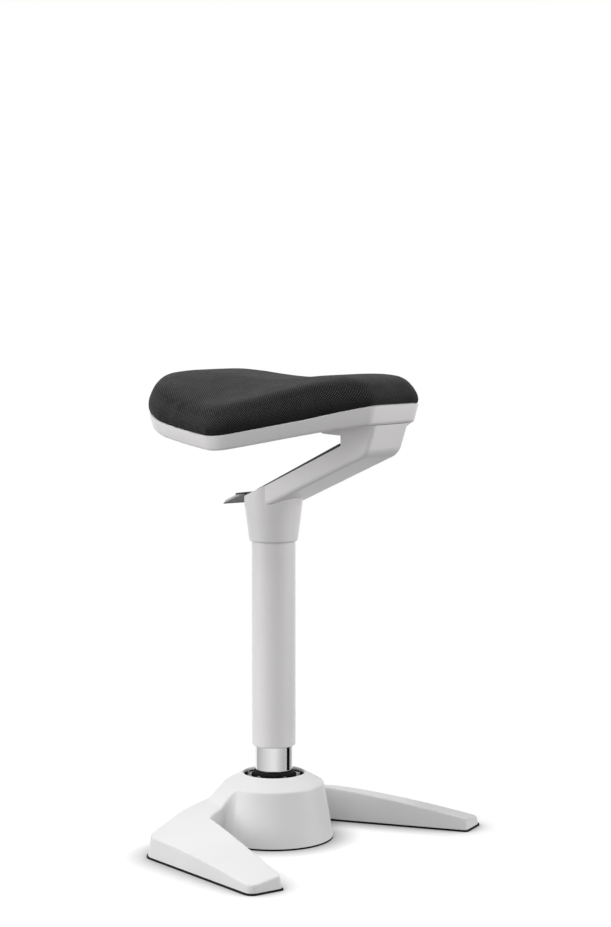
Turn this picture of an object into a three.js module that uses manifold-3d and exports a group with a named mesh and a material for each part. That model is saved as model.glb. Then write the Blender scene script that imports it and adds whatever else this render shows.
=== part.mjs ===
import * as THREE from 'three';
import { mergeVertices } from 'three/addons/utils/BufferGeometryUtils.js';
import Module from 'manifold-3d';

// Perch stool. Millimetres, +Z up. The origin is on the floor under the column, +X points to the toes
// of the base and the nose of the seat. The column stands upright and the seat is at its lowest.

const wasm = await Module();
wasm.setup();

// Clearances and overruns
const gap = 0.3;
const overrun = 2;

// A round that is drawn in keeps at least this share of its radius
const leastRoundShare = 0.2;

// Rounded bodies have this many sides, and rounded corners this many steps
const sides = { wide: 40, middle: 28, small: 16, fastener: 10 };
const cornerSteps = 3;

// Floor sole and one-piece base casting: a round hub and two swept legs
const sole = { thickness: 3 };
const hub = {
  footRadius: 79,
  shoulderRadius: 66.5,
  shoulderHeight: 74,
  skirtFall: 24,
  skirtReach: 18,
  topHeight: 88,
  openingRadius: 40.4,
  lipDepth: 4,
  rimChamfer: 1.5,
  wall: 5,
};
const leg = {
  backReach: 80,
  rearLap: 24,
  hipBack: 74,
  hipOut: 110,
  hipRound: 60,
  kneeBack: 54,
  kneeOut: 191,
  kneeRound: 20,
  toeFront: 171.5,
  toeOut: 234,
  toeWidth: 49,
  toeLead: 12,
  toeRound: 11,
  toeTipRound: 4,
  crotchBack: 6,
  crotchOut: 108,
  crotchRound: 14,
  webBack: 8,
  webRound: 14,
  webEnd: 27,
  wall: 5,
  ribThickness: 4,
};

// The legs' upper face is a flat cone, longer across than along, that swells into the hub
const deck = { apexHeight: 69.3, fall: 0.175, spread: 1.22, blend: 12 };
const deckRings = [50, 66, 72, 78, 84, 92, 110, 330];
const draft = 0.15;

// Rubber-sprung foot of the column
const housing = {
  innerRadius: 42,
  wall: 3,
  bottom: 10,
  top: 70,
  flangeRadius: 63,
  flangeBottom: 12,
  flangeThickness: 4,
};
const bush = { bottom: 18, top: 70, faceDish: 7 };
const sleeve = { outerRadius: 29, bottom: 14, top: 81, flangeRadius: 33.5, flangeThickness: 3 };
const boot = { outerRadius: 27.5, height: 9, ribCount: 12, ribReach: 2.4, ribWidth: 2.2, ribHeight: 6 };
const clip = { innerRadius: 30.6, outerRadius: 33, thickness: 1, tabCount: 6, tabWidth: 4.5, tabHeight: 4 };
const housingScrew = {
  count: 4,
  circleRadius: 56,
  shankRadius: 3,
  headRadius: 5.5,
  headHeight: 3.5,
  length: 18,
};
const housingPost = { radius: 6, socketDepth: 16 };

// Gas lift: fixed chromed tube, rod and sliding cylinder
const tube = {
  radius: 25,
  wall: 2,
  top: 342,
  bottom: 14,
  taperStart: 74,
  footRadius: 23.5,
  floor: 4,
  footRound: 2,
};
const rod = { radius: 5, bottom: 10.5, top: 275, shoulderRadius: 9, shoulderHeight: 3 };
const bearing = { outerRadius: 14, height: 6 };
const rodClip = { outerRadius: 8.5, thickness: 2 };
const piston = { radius: 11.7, bottom: 262, height: 11 };
const lift = {
  radius: 14,
  wall: 2,
  bottom: 31,
  taperStart: 402,
  top: 440,
  topRadius: 13.1,
  crown: 8,
  valveBore: 3.3,
};
const liftGland = { inset: 1, height: 14 };
const tubeGuide = { depth: 48, flangeThickness: 3 };
const cover = { radius: 29.3, wall: 2.6, bottom: 126.7, socketDepth: 14, edgeRound: 2 };
const coverGuide = { rise: 3, height: 16, runningGap: 0.4 };
const valvePin = { radius: 3, buried: 16, buttonRadius: 4.5, buttonHeight: 2 };

// Seat arm: collar round the column, sloping beam and nose block in one casting
const collar = {
  bottom: 397,
  bottomRadius: 31.5,
  topRadius: 38.5,
  edgeRound: 4,
  shoulder: 452,
  rearTop: 449,
};
const arm = { halfWidth: 35, edgeRound: 5, blockTop: 559.6 };
const beam = {
  heelX: 4,
  heelZ: 442,
  chinX: 183,
  chinZ: 521.5,
  chinRound: 14,
  noseX: 196.5,
  blockX: 145,
  blockZ: 531.7,
  crestX: -4.5,
  crestZ: 464,
  backX: -30,
  backZ: 455,
};
const armCover = { halfWidth: 29, thickness: 3, seat: 1, rearX: 4, frontClearance: 3 };

// Height lever in a slot through the rear of the collar
const lever = {
  pivotX: -22,
  pivotZ: 450.5,
  tongueHalfWidth: 8,
  tongueThickness: 6,
  tongueFront: 5,
  shoulderX: -41,
  shoulderTop: 457,
  tipX: -79,
  tipTop: 447.5,
  tipBottom: 443.5,
  paddleHalfWidth: 17,
  paddleRootHalfWidth: 14,
  pinRadius: 2.5,
  swing: 5,
};
const leverSlot = { front: 9, sideClearance: 1 };

// Seat: plan outline of the upper rim and the heights that follow it
const seat = {
  noseX: 207,
  noseHalfWidth: 46,
  noseRound: 16,
  wingX: 65,
  wingHalfWidth: 187,
  wingRound: 36,
  flankX: -82,
  flankHalfWidth: 153,
  flankRound: 110,
  rearX: -168,
  rearHalfWidth: 50,
  rearRound: 70,
  underside: 560,
  flatHalfWidth: 44,
  wingDroop: 34,
  droopReach: 248,
};
const pan = {
  rimHeight: 20,
  noseRise: 4.5,
  noseRiseLength: 60,
  wall: 3.5,
  floor: 3.5,
  rimDraft: 6,
  postRadius: 7,
};
const seatOutlinePoints = 48;
const panBoss = { rearX: 103, halfWidth: 33, depth: 11 };
const board = { thickness: 8, clearance: 1.5, inset: 0.9 };
const boardScrew = { shankRadius: 2.2, headRadius: 4.5, headHeight: 2.5, length: 14, recess: 3 };

// Each pair is a share of the nose's reach and a share of the wings' half width
const boardScrewShares = [
  [0.38, 0.49],
  [-0.13, 0.56],
  [-0.52, 0.28],
];
const plate = { rearX: 112, frontX: 184, halfWidth: 30, thickness: 3 };
const armBolt = {
  shankRadius: 4,
  headRadius: 6.5,
  headHeight: 3.5,
  length: 30,
  rearInset: 10,
  frontInset: 22,
  halfSpread: 20,
};
const cushion = {
  overhang: 2,
  rest: 0.5,
  edgeHeight: 42,
  dip: 7.5,
  dipX: 30,
  dipReach: 90,
  noseRoll: 18,
  noseRollLength: 70,
  rearRoll: 14,
  rearRollLength: 80,
};

// Each pair is a share of the edge height and a share of the edge height drawn in from the outline
const cushionEdgeShares = [
  [0, 0],
  [0.12, -0.05],
  [0.3, -0.05],
  [0.5, 0.01],
  [0.68, 0.09],
  [0.82, 0.2],
  [0.93, 0.35],
  [1, 0.62],
];
const crownRingShares = [0.8, 0.6, 0.4, 0.2];

// Solid helpers

function weld(geometry) {
  geometry.deleteAttribute('normal');
  geometry.deleteAttribute('uv');
  const merged = mergeVertices(geometry, gap / 1000);
  const position = merged.getAttribute('position');
  const index = merged.getIndex().array;
  const kept = [];
  let volume = 0;
  const corners = [new THREE.Vector3(), new THREE.Vector3(), new THREE.Vector3()];
  for (let i = 0; i < index.length; i += 3) {
    const [a, b, c] = [index[i], index[i + 1], index[i + 2]];
    if (a === b || b === c || c === a) continue;
    kept.push([a, b, c]);
    corners.forEach((corner, k) => corner.fromBufferAttribute(position, index[i + k]));
    volume += corners[0].dot(corners[1].clone().cross(corners[2]));
  }
  const facing = volume < 0 ? kept.map(([a, b, c]) => [a, c, b]) : kept;
  merged.setIndex(facing.flat());
  return merged;
}

function toSolid(geometry) {
  const closed = weld(geometry);
  const vertProperties = new Float32Array(closed.getAttribute('position').array);
  const triVerts = new Uint32Array(closed.getIndex().array);
  return new wasm.Manifold(new wasm.Mesh({ numProp: 3, vertProperties, triVerts }));
}

function toGeometry(solid) {
  const mesh = solid.getMesh();
  const geometry = new THREE.BufferGeometry();
  geometry.setAttribute('position', new THREE.BufferAttribute(new Float32Array(mesh.vertProperties), 3));
  geometry.setIndex(new THREE.BufferAttribute(new Uint32Array(mesh.triVerts), 1));
  return geometry;
}

// A body turned about the column from [radius, height] points, closed on the axis or on itself
function turned(profile, segments) {
  const points = profile.map(([radius, height]) => new THREE.Vector2(radius, height));
  return new THREE.LatheGeometry(points, segments).rotateX(Math.PI / 2);
}

// A ring between two radii and two heights
function ring(innerRadius, outerRadius, bottom, top, segments) {
  const profile = [
    [innerRadius, bottom],
    [outerRadius, bottom],
    [outerRadius, top],
    [innerRadius, top],
    [innerRadius, bottom],
  ];
  return turned(profile, segments);
}

function cylinder(radius, bottom, top, segments) {
  return turned([[0, bottom], [radius, bottom], [radius, top], [0, top]], segments);
}

function block(x0, x1, y0, y1, z0, z1) {
  const geometry = new THREE.BoxGeometry(x1 - x0, y1 - y0, z1 - z0);
  return geometry.translate((x0 + x1) / 2, (y0 + y1) / 2, (z0 + z1) / 2);
}

// Corners are [x, y, radius]; each is replaced by a curve that touches both its sides
function roundedOutline(corners, steps) {
  const outline = [];
  corners.forEach(([x, y, radius], i) => {
    const here = new THREE.Vector2(x, y);
    if (radius === 0) {
      outline.push(here);
      return;
    }
    const before = new THREE.Vector2(...corners[(i + corners.length - 1) % corners.length]);
    const after = new THREE.Vector2(...corners[(i + 1) % corners.length]);
    const toBefore = before.sub(here).normalize();
    const toAfter = after.sub(here).normalize();
    const halfAngle = Math.acos(toBefore.dot(toAfter)) / 2;
    const reach = radius / Math.tan(halfAngle);
    const start = here.clone().addScaledVector(toBefore, reach);
    const end = here.clone().addScaledVector(toAfter, reach);
    const curve = new THREE.QuadraticBezierCurve(start, here, end);
    outline.push(...curve.getPoints(steps));
  });
  return outline;
}

// Moves each side of an anticlockwise row of corners inwards, and tightens or opens its rounds to match
function inset(corners, distance) {
  return corners.map(([x, y, radius], i) => {
    const here = new THREE.Vector2(x, y);
    const before = new THREE.Vector2(...corners[(i + corners.length - 1) % corners.length]);
    const first = here.clone().sub(before);
    const second = new THREE.Vector2(...corners[(i + 1) % corners.length]).sub(here);
    const bulges = first.cross(second) > 0;
    const [n1, n2] = [first, second].map((side) => new THREE.Vector2(-side.y, side.x).normalize());
    const moved = here.addScaledVector(n1.clone().add(n2), distance / (1 + n1.dot(n2)));
    const fitted = bulges ? Math.max(radius - distance, radius * leastRoundShare) : radius + distance;
    return [moved.x, moved.y, radius === 0 ? 0 : fitted];
  });
}

// A closed body through rings of equal count, given from the lowest to the highest
function loft(rings) {
  const count = rings[0].length;
  const positions = rings.flat().flatMap((point) => [point.x, point.y, point.z]);
  const faces = [];
  for (let row = 0; row < rings.length - 1; row += 1) {
    for (let i = 0; i < count; i += 1) {
      const a = row * count + i;
      const b = row * count + ((i + 1) % count);
      faces.push([a, b, b + count], [a, b + count, a + count]);
    }
  }
  const capOf = (points) => {
    const plan = points.map((point) => new THREE.Vector2(point.x, point.y));
    return THREE.ShapeUtils.triangulateShape(plan, []);
  };
  const last = (rings.length - 1) * count;
  capOf(rings[0]).forEach(([a, b, c]) => faces.push([a, c, b]));
  capOf(rings[rings.length - 1]).forEach(([a, b, c]) => faces.push([last + a, last + b, last + c]));
  const geometry = new THREE.BufferGeometry();
  geometry.setAttribute('position', new THREE.Float32BufferAttribute(positions, 3));
  geometry.setIndex(faces.flat());
  return geometry;
}

function flat(outline, height) {
  return outline.map((point) => new THREE.Vector3(point.x, point.y, height));
}

// A drafted wall: the corners at the bottom, drawn in by the draft at the top
function draftedPrism(corners, bottom, top) {
  const upper = inset(corners, draft * (top - bottom));
  return loft([
    flat(roundedOutline(corners, cornerSteps), bottom),
    flat(roundedOutline(upper, cornerSteps), top),
  ]);
}

// Corners in X and Z, pushed out to both sides of the middle plane
function sideProfile(corners, halfWidth) {
  const shape = new THREE.Shape(roundedOutline(corners, cornerSteps));
  const geometry = new THREE.ExtrudeGeometry(shape, { depth: 2 * halfWidth, bevelEnabled: false });
  return geometry.translate(0, 0, -halfWidth).rotateX(Math.PI / 2);
}

function mirrored(corners) {
  return corners.map(([x, y, radius]) => [x, -y, radius]).reverse();
}

// A screw standing on its head at the origin, shank upwards, with a round recess in the head
function screw({ shankRadius, headRadius, headHeight, length }) {
  const recessRadius = headRadius / 2;
  const recessDepth = headHeight / 2;
  const profile = [
    [0, recessDepth],
    [recessRadius, recessDepth],
    [recessRadius, 0],
    [headRadius, 0],
    [headRadius, headHeight],
    [shankRadius, headHeight],
    [shankRadius, headHeight + length - shankRadius],
    [shankRadius / 2, headHeight + length],
    [0, headHeight + length],
  ];
  return turned(profile, sides.fastener);
}

// Assembly helpers

function add(parent, name, geometry, look) {
  const mesh = new THREE.Mesh(weld(geometry), new THREE.MeshStandardMaterial(look));
  mesh.geometry.computeVertexNormals();
  mesh.name = name;
  parent.add(mesh);
  return mesh;
}

const looks = {
  whitePaint: () => ({ color: 0xe6e6e6, roughness: 0.4, metalness: 0 }),
  chrome: () => ({ color: 0xd4d6d8, roughness: 0.08, metalness: 1 }),
  steel: () => ({ color: 0x9a9da0, roughness: 0.4, metalness: 1 }),
  blackSteel: () => ({ color: 0x1c1c1e, roughness: 0.45, metalness: 0.6 }),
  rubber: () => ({ color: 0x121213, roughness: 0.85, metalness: 0 }),
  blackPlastic: () => ({ color: 0x18181a, roughness: 0.5, metalness: 0 }),
  greyPlastic: () => ({ color: 0x4a4b4c, roughness: 0.5, metalness: 0 }),
  fabric: () => ({ color: 0x1a1a1b, roughness: 0.95, metalness: 0 }),
  plywood: () => ({ color: 0xb08a5c, roughness: 0.7, metalness: 0 }),
};

// Base casting, sole and the screws' posts

const castingBottom = sole.thickness + gap;

// Plan of the near leg where it stands, anticlockwise from behind the hub
function legCorners() {
  const webFoot = -Math.sqrt(hub.footRadius ** 2 - leg.webBack ** 2);
  const webEnd = -Math.sqrt(hub.footRadius ** 2 - leg.webEnd ** 2);
  return [
    [0, leg.rearLap, 0],
    [-leg.backReach, leg.rearLap, 0],
    [-leg.hipBack, -leg.hipOut, leg.hipRound],
    [-leg.kneeBack, -leg.kneeOut, leg.kneeRound],
    [leg.toeFront, -leg.toeOut, leg.toeRound],
    [leg.toeFront + leg.toeLead, -leg.toeOut + leg.toeWidth, leg.toeTipRound],
    [-leg.crotchBack, -leg.crotchOut, leg.crotchRound],
    [-leg.webBack, webFoot, leg.webRound],
    [leg.webEnd, webEnd, 0],
    [0, 0, 0],
  ];
}

// Height of the hub's shoulder cone and, past its edge, of the skirt that falls to the legs
function coneHeight(radius) {
  const slope = (hub.topHeight - hub.shoulderHeight) / (hub.shoulderRadius - hub.openingRadius);
  const skirtSlope = hub.skirtFall / hub.skirtReach;
  const onCone = Math.min(radius, hub.shoulderRadius) - hub.openingRadius;
  const onSkirt = Math.max(0, radius - hub.shoulderRadius);
  return hub.topHeight - slope * onCone - skirtSlope * onSkirt;
}

function deckHeight(x, y) {
  const deckLevel = deck.apexHeight - deck.fall * Math.hypot(x, deck.spread * y);
  const coneLevel = coneHeight(Math.hypot(x, y));
  const overlap = Math.max(0, deck.blend - Math.abs(deckLevel - coneLevel));
  return Math.max(deckLevel, coneLevel) + (overlap * overlap) / (4 * deck.blend);
}

// Everything under the legs' upper face, lowered by the drop
function deckBlock(drop) {
  const circle = (radius, heightAt) => {
    const path = new THREE.Path().absarc(0, 0, radius, 0, 2 * Math.PI);
    const points = path.getSpacedPoints(sides.wide).slice(1);
    return points.map(({ x, y }) => new THREE.Vector3(x, y, heightAt(x, y)));
  };
  const widest = deckRings[deckRings.length - 1];
  const upper = deckRings.map((radius) => circle(radius, (x, y) => deckHeight(x, y) - drop)).reverse();
  return loft([circle(widest, () => -hub.topHeight), ...upper]);
}

function hubProfile() {
  return [
    [0, castingBottom],
    [hub.footRadius, castingBottom],
    [hub.shoulderRadius, hub.shoulderHeight],
    [hub.openingRadius + hub.rimChamfer, hub.topHeight],
    [0, hub.topHeight],
  ];
}

function hubCavityProfile() {
  return [
    [0, castingBottom - overrun],
    [hub.footRadius - hub.wall, castingBottom - overrun],
    [hub.footRadius - hub.wall, castingBottom],
    [hub.shoulderRadius - hub.wall, hub.shoulderHeight - hub.wall],
    [hub.openingRadius, hub.topHeight - hub.lipDepth],
    [hub.openingRadius, hub.topHeight + overrun],
    [0, hub.topHeight + overrun],
  ];
}

function legSolid(corners, bottom, drop) {
  return toSolid(draftedPrism(corners, bottom, hub.shoulderHeight)).intersect(toSolid(deckBlock(drop)));
}

function postPlaces() {
  const places = [];
  for (let i = 0; i < housingScrew.count; i += 1) {
    const angle = ((i + 0.5) / housingScrew.count) * 2 * Math.PI;
    const radius = housingScrew.circleRadius;
    places.push({ x: radius * Math.cos(angle), y: radius * Math.sin(angle) });
  }
  return places;
}

function baseCasting() {
  const outer = legCorners();
  const inner = inset(outer, leg.wall);
  const legs = legSolid(outer, castingBottom, 0).add(legSolid(mirrored(outer), castingBottom, 0));
  const hubSolid = toSolid(turned(hubProfile(), sides.wide));
  const pocketBottom = castingBottom - overrun;
  const nearPocket = legSolid(inner, pocketBottom, leg.wall);
  const pockets = nearPocket.add(legSolid(mirrored(inner), pocketBottom, leg.wall));
  const ribs = [leg.kneeOut, (leg.kneeOut + leg.crotchOut) / 2].map((place) => {
    const half = leg.ribThickness / 2;
    const halves = [block(-leg.backReach, leg.toeFront, place - half, place + half, 0, hub.topHeight)];
    halves.push(halves[0].clone().scale(1, -1, 1));
    return toSolid(halves[0]).add(toSolid(halves[1]));
  });
  let casting = legs.add(hubSolid).subtract(pockets.subtract(hubSolid).subtract(ribs[0]).subtract(ribs[1]));
  casting = casting.subtract(toSolid(turned(hubCavityProfile(), sides.wide)));
  const postBottom = housing.flangeBottom + housing.flangeThickness + gap;
  const socketTop = postBottom + housingPost.socketDepth;
  postPlaces().forEach(({ x, y }) => {
    const top = coneHeight(housingScrew.circleRadius + housingPost.radius) - hub.rimChamfer;
    const post = cylinder(housingPost.radius, postBottom, top, sides.small).translate(x, y, 0);
    const bore = housingScrew.shankRadius + gap;
    const socket = cylinder(bore, postBottom - overrun, socketTop, sides.fastener);
    casting = casting.add(toSolid(post)).subtract(toSolid(socket.translate(x, y, 0)));
  });
  return toGeometry(casting);
}

function baseSole() {
  const [near, far] = [legCorners(), mirrored(legCorners())].map((corners) => {
    const outline = roundedOutline(corners, cornerSteps);
    return toSolid(loft([flat(outline, 0), flat(outline, sole.thickness)]));
  });
  const disc = toSolid(cylinder(hub.footRadius, 0, sole.thickness, sides.wide));
  return toGeometry(near.add(far).add(disc));
}

function bushHousing() {
  const outer = housing.innerRadius + housing.wall;
  const profile = [
    [housing.innerRadius, housing.bottom],
    [outer, housing.bottom],
    [outer, housing.flangeBottom],
    [housing.flangeRadius, housing.flangeBottom],
    [housing.flangeRadius, housing.flangeBottom + housing.flangeThickness],
    [outer, housing.flangeBottom + housing.flangeThickness],
    [outer, housing.top],
    [housing.innerRadius, housing.top],
    [housing.innerRadius, housing.bottom],
  ];
  let solid = toSolid(turned(profile, sides.wide));
  postPlaces().forEach(({ x, y }) => {
    const hole = cylinder(housingScrew.shankRadius + gap, 0, housing.top, sides.fastener);
    solid = solid.subtract(toSolid(hole.translate(x, y, 0)));
  });
  return toGeometry(solid);
}

function addBase(parent) {
  add(parent, 'base_sole', baseSole(), looks.rubber());
  add(parent, 'base_casting', baseCasting(), looks.whitePaint());
  add(parent, 'bush_housing', bushHousing(), looks.steel());
  postPlaces().forEach(({ x, y }, i) => {
    const mesh = add(parent, `housing_screw_${i + 1}`, screw(housingScrew), looks.blackSteel());
    mesh.position.set(x, y, housing.flangeBottom - gap - housingScrew.headHeight);
  });
}

// Rocking foot of the column

function taperRadius(height) {
  const share = Math.min(1, (tube.taperStart - height) / (tube.taperStart - tube.bottom));
  return tube.radius - (tube.radius - tube.footRadius) * Math.max(0, share);
}

function rockingBush() {
  const inner = sleeve.outerRadius + gap;
  const outer = housing.innerRadius - gap;
  const middle = (inner + outer) / 2;
  const profile = [
    [inner, bush.bottom],
    [middle, bush.bottom + bush.faceDish],
    [outer, bush.bottom],
    [outer, bush.top],
    [middle, bush.top - bush.faceDish],
    [inner, bush.top],
    [inner, bush.bottom],
  ];
  return turned(profile, sides.middle);
}

function taperSleeve() {
  const flangeBottom = sleeve.top - sleeve.flangeThickness;
  const profile = [
    [taperRadius(sleeve.bottom) + gap, sleeve.bottom],
    [sleeve.outerRadius, sleeve.bottom],
    [sleeve.outerRadius, flangeBottom],
    [sleeve.flangeRadius, flangeBottom],
    [sleeve.flangeRadius, sleeve.top],
    [tube.radius + gap, sleeve.top],
    [tube.radius + gap, tube.taperStart],
    [taperRadius(sleeve.bottom) + gap, sleeve.bottom],
  ];
  return turned(profile, sides.middle);
}

function gasCylinder() {
  const inner = tube.radius - tube.wall;
  const footInner = tube.footRadius - tube.wall;
  const hole = rod.radius + gap;
  const profile = [
    [hole, tube.bottom],
    [tube.footRadius - tube.footRound, tube.bottom],
    [taperRadius(tube.bottom + tube.footRound), tube.bottom + tube.footRound],
    [tube.radius, tube.taperStart],
    [tube.radius, tube.top],
    [inner, tube.top],
    [inner, tube.taperStart],
    [footInner, tube.bottom + tube.floor],
    [hole, tube.bottom + tube.floor],
    [hole, tube.bottom],
  ];
  return turned(profile, sides.wide);
}

function around(count, startShare, makeGeometry) {
  const copies = [];
  for (let i = 0; i < count; i += 1) {
    const angle = ((i + startShare) / count) * 2 * Math.PI;
    copies.push(toSolid(makeGeometry().rotateZ(angle)));
  }
  return copies;
}

function columnBoot() {
  const bottom = sleeve.top + gap;
  const inner = tube.radius + gap;
  const body = toSolid(ring(inner, boot.outerRadius, bottom, bottom + boot.height, sides.middle));
  const rootRadius = (inner + boot.outerRadius) / 2;
  const tipRadius = boot.outerRadius + boot.ribReach;
  const half = boot.ribWidth / 2;
  const top = bottom + boot.ribHeight;
  const ribs = around(boot.ribCount, 0, () => block(rootRadius, tipRadius, -half, half, bottom, top));
  return toGeometry(ribs.reduce((solid, rib) => solid.add(rib), body));
}

function retainingClip() {
  const bottom = sleeve.top + gap;
  const plateTop = bottom + clip.thickness;
  const body = toSolid(ring(clip.innerRadius, clip.outerRadius, bottom, plateTop, sides.middle));
  const half = clip.tabWidth / 2;
  const tabInner = clip.outerRadius - clip.thickness - gap;
  const tabOuter = clip.outerRadius - gap;
  const tabTop = bottom + clip.tabHeight;
  const tabs = around(clip.tabCount, 0.5, () => block(tabInner, tabOuter, -half, half, bottom, tabTop));
  return toGeometry(tabs.reduce((solid, tab) => solid.add(tab), body));
}

function thrustBearing() {
  const bottom = tube.bottom + tube.floor + gap;
  const groove = (bearing.outerRadius - rod.radius) / 5;
  const inner = rod.radius + gap;
  const outer = bearing.outerRadius;
  const profile = [
    [inner, bottom],
    [outer, bottom],
    [outer, bottom + bearing.height / 3],
    [outer - groove, bottom + bearing.height / 2],
    [outer, bottom + (2 * bearing.height) / 3],
    [outer, bottom + bearing.height],
    [inner, bottom + bearing.height],
    [inner, bottom],
  ];
  return turned(profile, sides.small);
}

function tubeGuideBush() {
  const bore = lift.radius + gap;
  const flangeBottom = tube.top + gap;
  const stem = tube.radius - tube.wall - gap;
  const profile = [
    [bore, tube.top - tubeGuide.depth],
    [stem, tube.top - tubeGuide.depth],
    [stem, flangeBottom],
    [tube.radius, flangeBottom],
    [tube.radius, flangeBottom + tubeGuide.flangeThickness],
    [bore, flangeBottom + tubeGuide.flangeThickness],
    [bore, tube.top - tubeGuide.depth],
  ];
  return turned(profile, sides.middle);
}

function addColumn(parent) {
  add(parent, 'rocking_bush', rockingBush(), looks.rubber());
  add(parent, 'taper_sleeve', taperSleeve(), looks.steel());
  add(parent, 'gas_cylinder', gasCylinder(), looks.chrome());
  add(parent, 'column_boot', columnBoot(), looks.rubber());
  add(parent, 'retaining_clip', retainingClip(), looks.steel());
  add(parent, 'thrust_bearing', thrustBearing(), looks.steel());
  add(parent, 'tube_guide', tubeGuideBush(), looks.blackPlastic());
}

// Rod that stands on the thrust bearing and turns with the seat

function pistonRod() {
  const shoulderBottom = tube.bottom + tube.floor + gap + bearing.height + gap;
  const shoulderTop = shoulderBottom + rod.shoulderHeight;
  const profile = [
    [0, rod.bottom],
    [rod.radius, rod.bottom],
    [rod.radius, shoulderBottom],
    [rod.shoulderRadius, shoulderBottom],
    [rod.shoulderRadius, shoulderTop],
    [rod.radius, shoulderTop],
    [rod.radius, rod.top],
    [0, rod.top],
  ];
  return turned(profile, sides.small);
}

function addRod(parent) {
  const clipTop = tube.bottom - gap;
  const bore = rod.radius + gap;
  add(parent, 'piston_rod', pistonRod(), looks.steel());
  const clipBody = ring(bore, rodClip.outerRadius, clipTop - rodClip.thickness, clipTop, sides.small);
  add(parent, 'rod_clip', clipBody, looks.steel());
  const pistonTop = piston.bottom + piston.height;
  const head = ring(bore, piston.radius, piston.bottom, pistonTop, sides.small);
  add(parent, 'piston_head', head, looks.blackPlastic());
}

// Sliding cylinder and cover tube

function liftCylinder() {
  const inner = lift.radius - lift.wall;
  const roof = lift.top - lift.crown;
  const profile = [
    [inner, lift.bottom],
    [lift.radius, lift.bottom],
    [lift.radius, lift.taperStart],
    [lift.topRadius, lift.top],
    [lift.valveBore, lift.top],
    [lift.valveBore, roof],
    [lift.topRadius - lift.wall, roof],
    [inner, lift.taperStart],
    [inner, lift.bottom],
  ];
  return turned(profile, sides.middle);
}

function coverTube() {
  const inner = cover.radius - cover.wall;
  const top = collar.bottom + cover.socketDepth;
  const round = cover.edgeRound;
  const profile = [
    [inner, cover.bottom],
    [cover.radius - round, cover.bottom],
    [cover.radius - round / 4, cover.bottom + round / 3],
    [cover.radius, cover.bottom + round],
    [cover.radius, top],
    [inner, top],
    [inner, cover.bottom],
  ];
  return turned(profile, sides.wide);
}

function addLift(parent) {
  add(parent, 'lift_cylinder', liftCylinder(), looks.blackSteel());
  const glandBottom = lift.bottom + liftGland.inset;
  const glandOuter = lift.radius - lift.wall - gap;
  const glandTop = glandBottom + liftGland.height;
  const gland = ring(rod.radius + gap, glandOuter, glandBottom, glandTop, sides.small);
  add(parent, 'lift_gland', gland, looks.blackPlastic());
  add(parent, 'cover_tube', coverTube(), looks.whitePaint());
  const guideBottom = cover.bottom + coverGuide.rise;
  const guideInner = tube.radius + coverGuide.runningGap;
  const guideOuter = cover.radius - cover.wall - gap;
  const guide = ring(guideInner, guideOuter, guideBottom, guideBottom + coverGuide.height, sides.middle);
  add(parent, 'cover_guide', guide, looks.blackPlastic());
}

// Seat arm

// The block runs on above its flat top, which is cut afterwards
function armCorners() {
  const above = 3 * arm.edgeRound;
  const lean = (beam.noseX - beam.chinX) / (arm.blockTop - beam.chinZ);
  return [
    [beam.heelX, beam.heelZ, 0],
    [beam.chinX, beam.chinZ, beam.chinRound],
    [beam.noseX + above * lean, arm.blockTop + above, 0],
    [beam.blockX, arm.blockTop + above, 0],
    [beam.blockX, beam.blockZ, 0],
    [beam.crestX, beam.crestZ, 0],
    [beam.backX, beam.backZ, 0],
  ];
}

// Straight line along the top of the beam
function beamTop(x) {
  const slope = (beam.blockZ - beam.crestZ) / (beam.blockX - beam.crestX);
  return beam.crestZ + slope * (x - beam.crestX);
}

// Beam and block; a narrow tall profile and two wider, lower ones round off the long edges
function armBody() {
  const corners = armCorners();
  const steps = [[0, 1], [1 / 3, 1 / 3], [1, 0]];
  const layers = steps.map(([lowShare, narrowShare]) => {
    const profile = inset(corners, lowShare * arm.edgeRound);
    return toSolid(sideProfile(profile, arm.halfWidth - narrowShare * arm.edgeRound));
  });
  const body = layers.reduce((solid, layer) => solid.add(layer));
  const above = block(
    beam.crestX,
    beam.noseX + arm.halfWidth,
    -arm.halfWidth - overrun,
    arm.halfWidth + overrun,
    arm.blockTop,
    arm.blockTop + 4 * arm.edgeRound,
  );
  return body.subtract(toSolid(above));
}

function collarBody() {
  const round = collar.edgeRound;
  const profile = [
    [0, collar.bottom],
    [collar.bottomRadius - round, collar.bottom],
    [collar.bottomRadius - round / 4, collar.bottom + round / 3],
    [collar.bottomRadius, collar.bottom + round],
    [collar.topRadius, collar.shoulder],
    [collar.topRadius, beam.crestZ],
    [0, beam.crestZ],
  ];
  const top = [
    [-collar.topRadius - overrun, collar.rearTop, 0],
    [beam.backX, beam.backZ, 0],
    [beam.crestX, beam.crestZ, 0],
    [beam.blockX, beam.blockZ, 0],
    [beam.blockX, collar.bottom - overrun, 0],
    [-collar.topRadius - overrun, collar.bottom - overrun, 0],
  ];
  return toSolid(turned(profile, sides.wide)).intersect(toSolid(sideProfile(top, 2 * collar.topRadius)));
}

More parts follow.
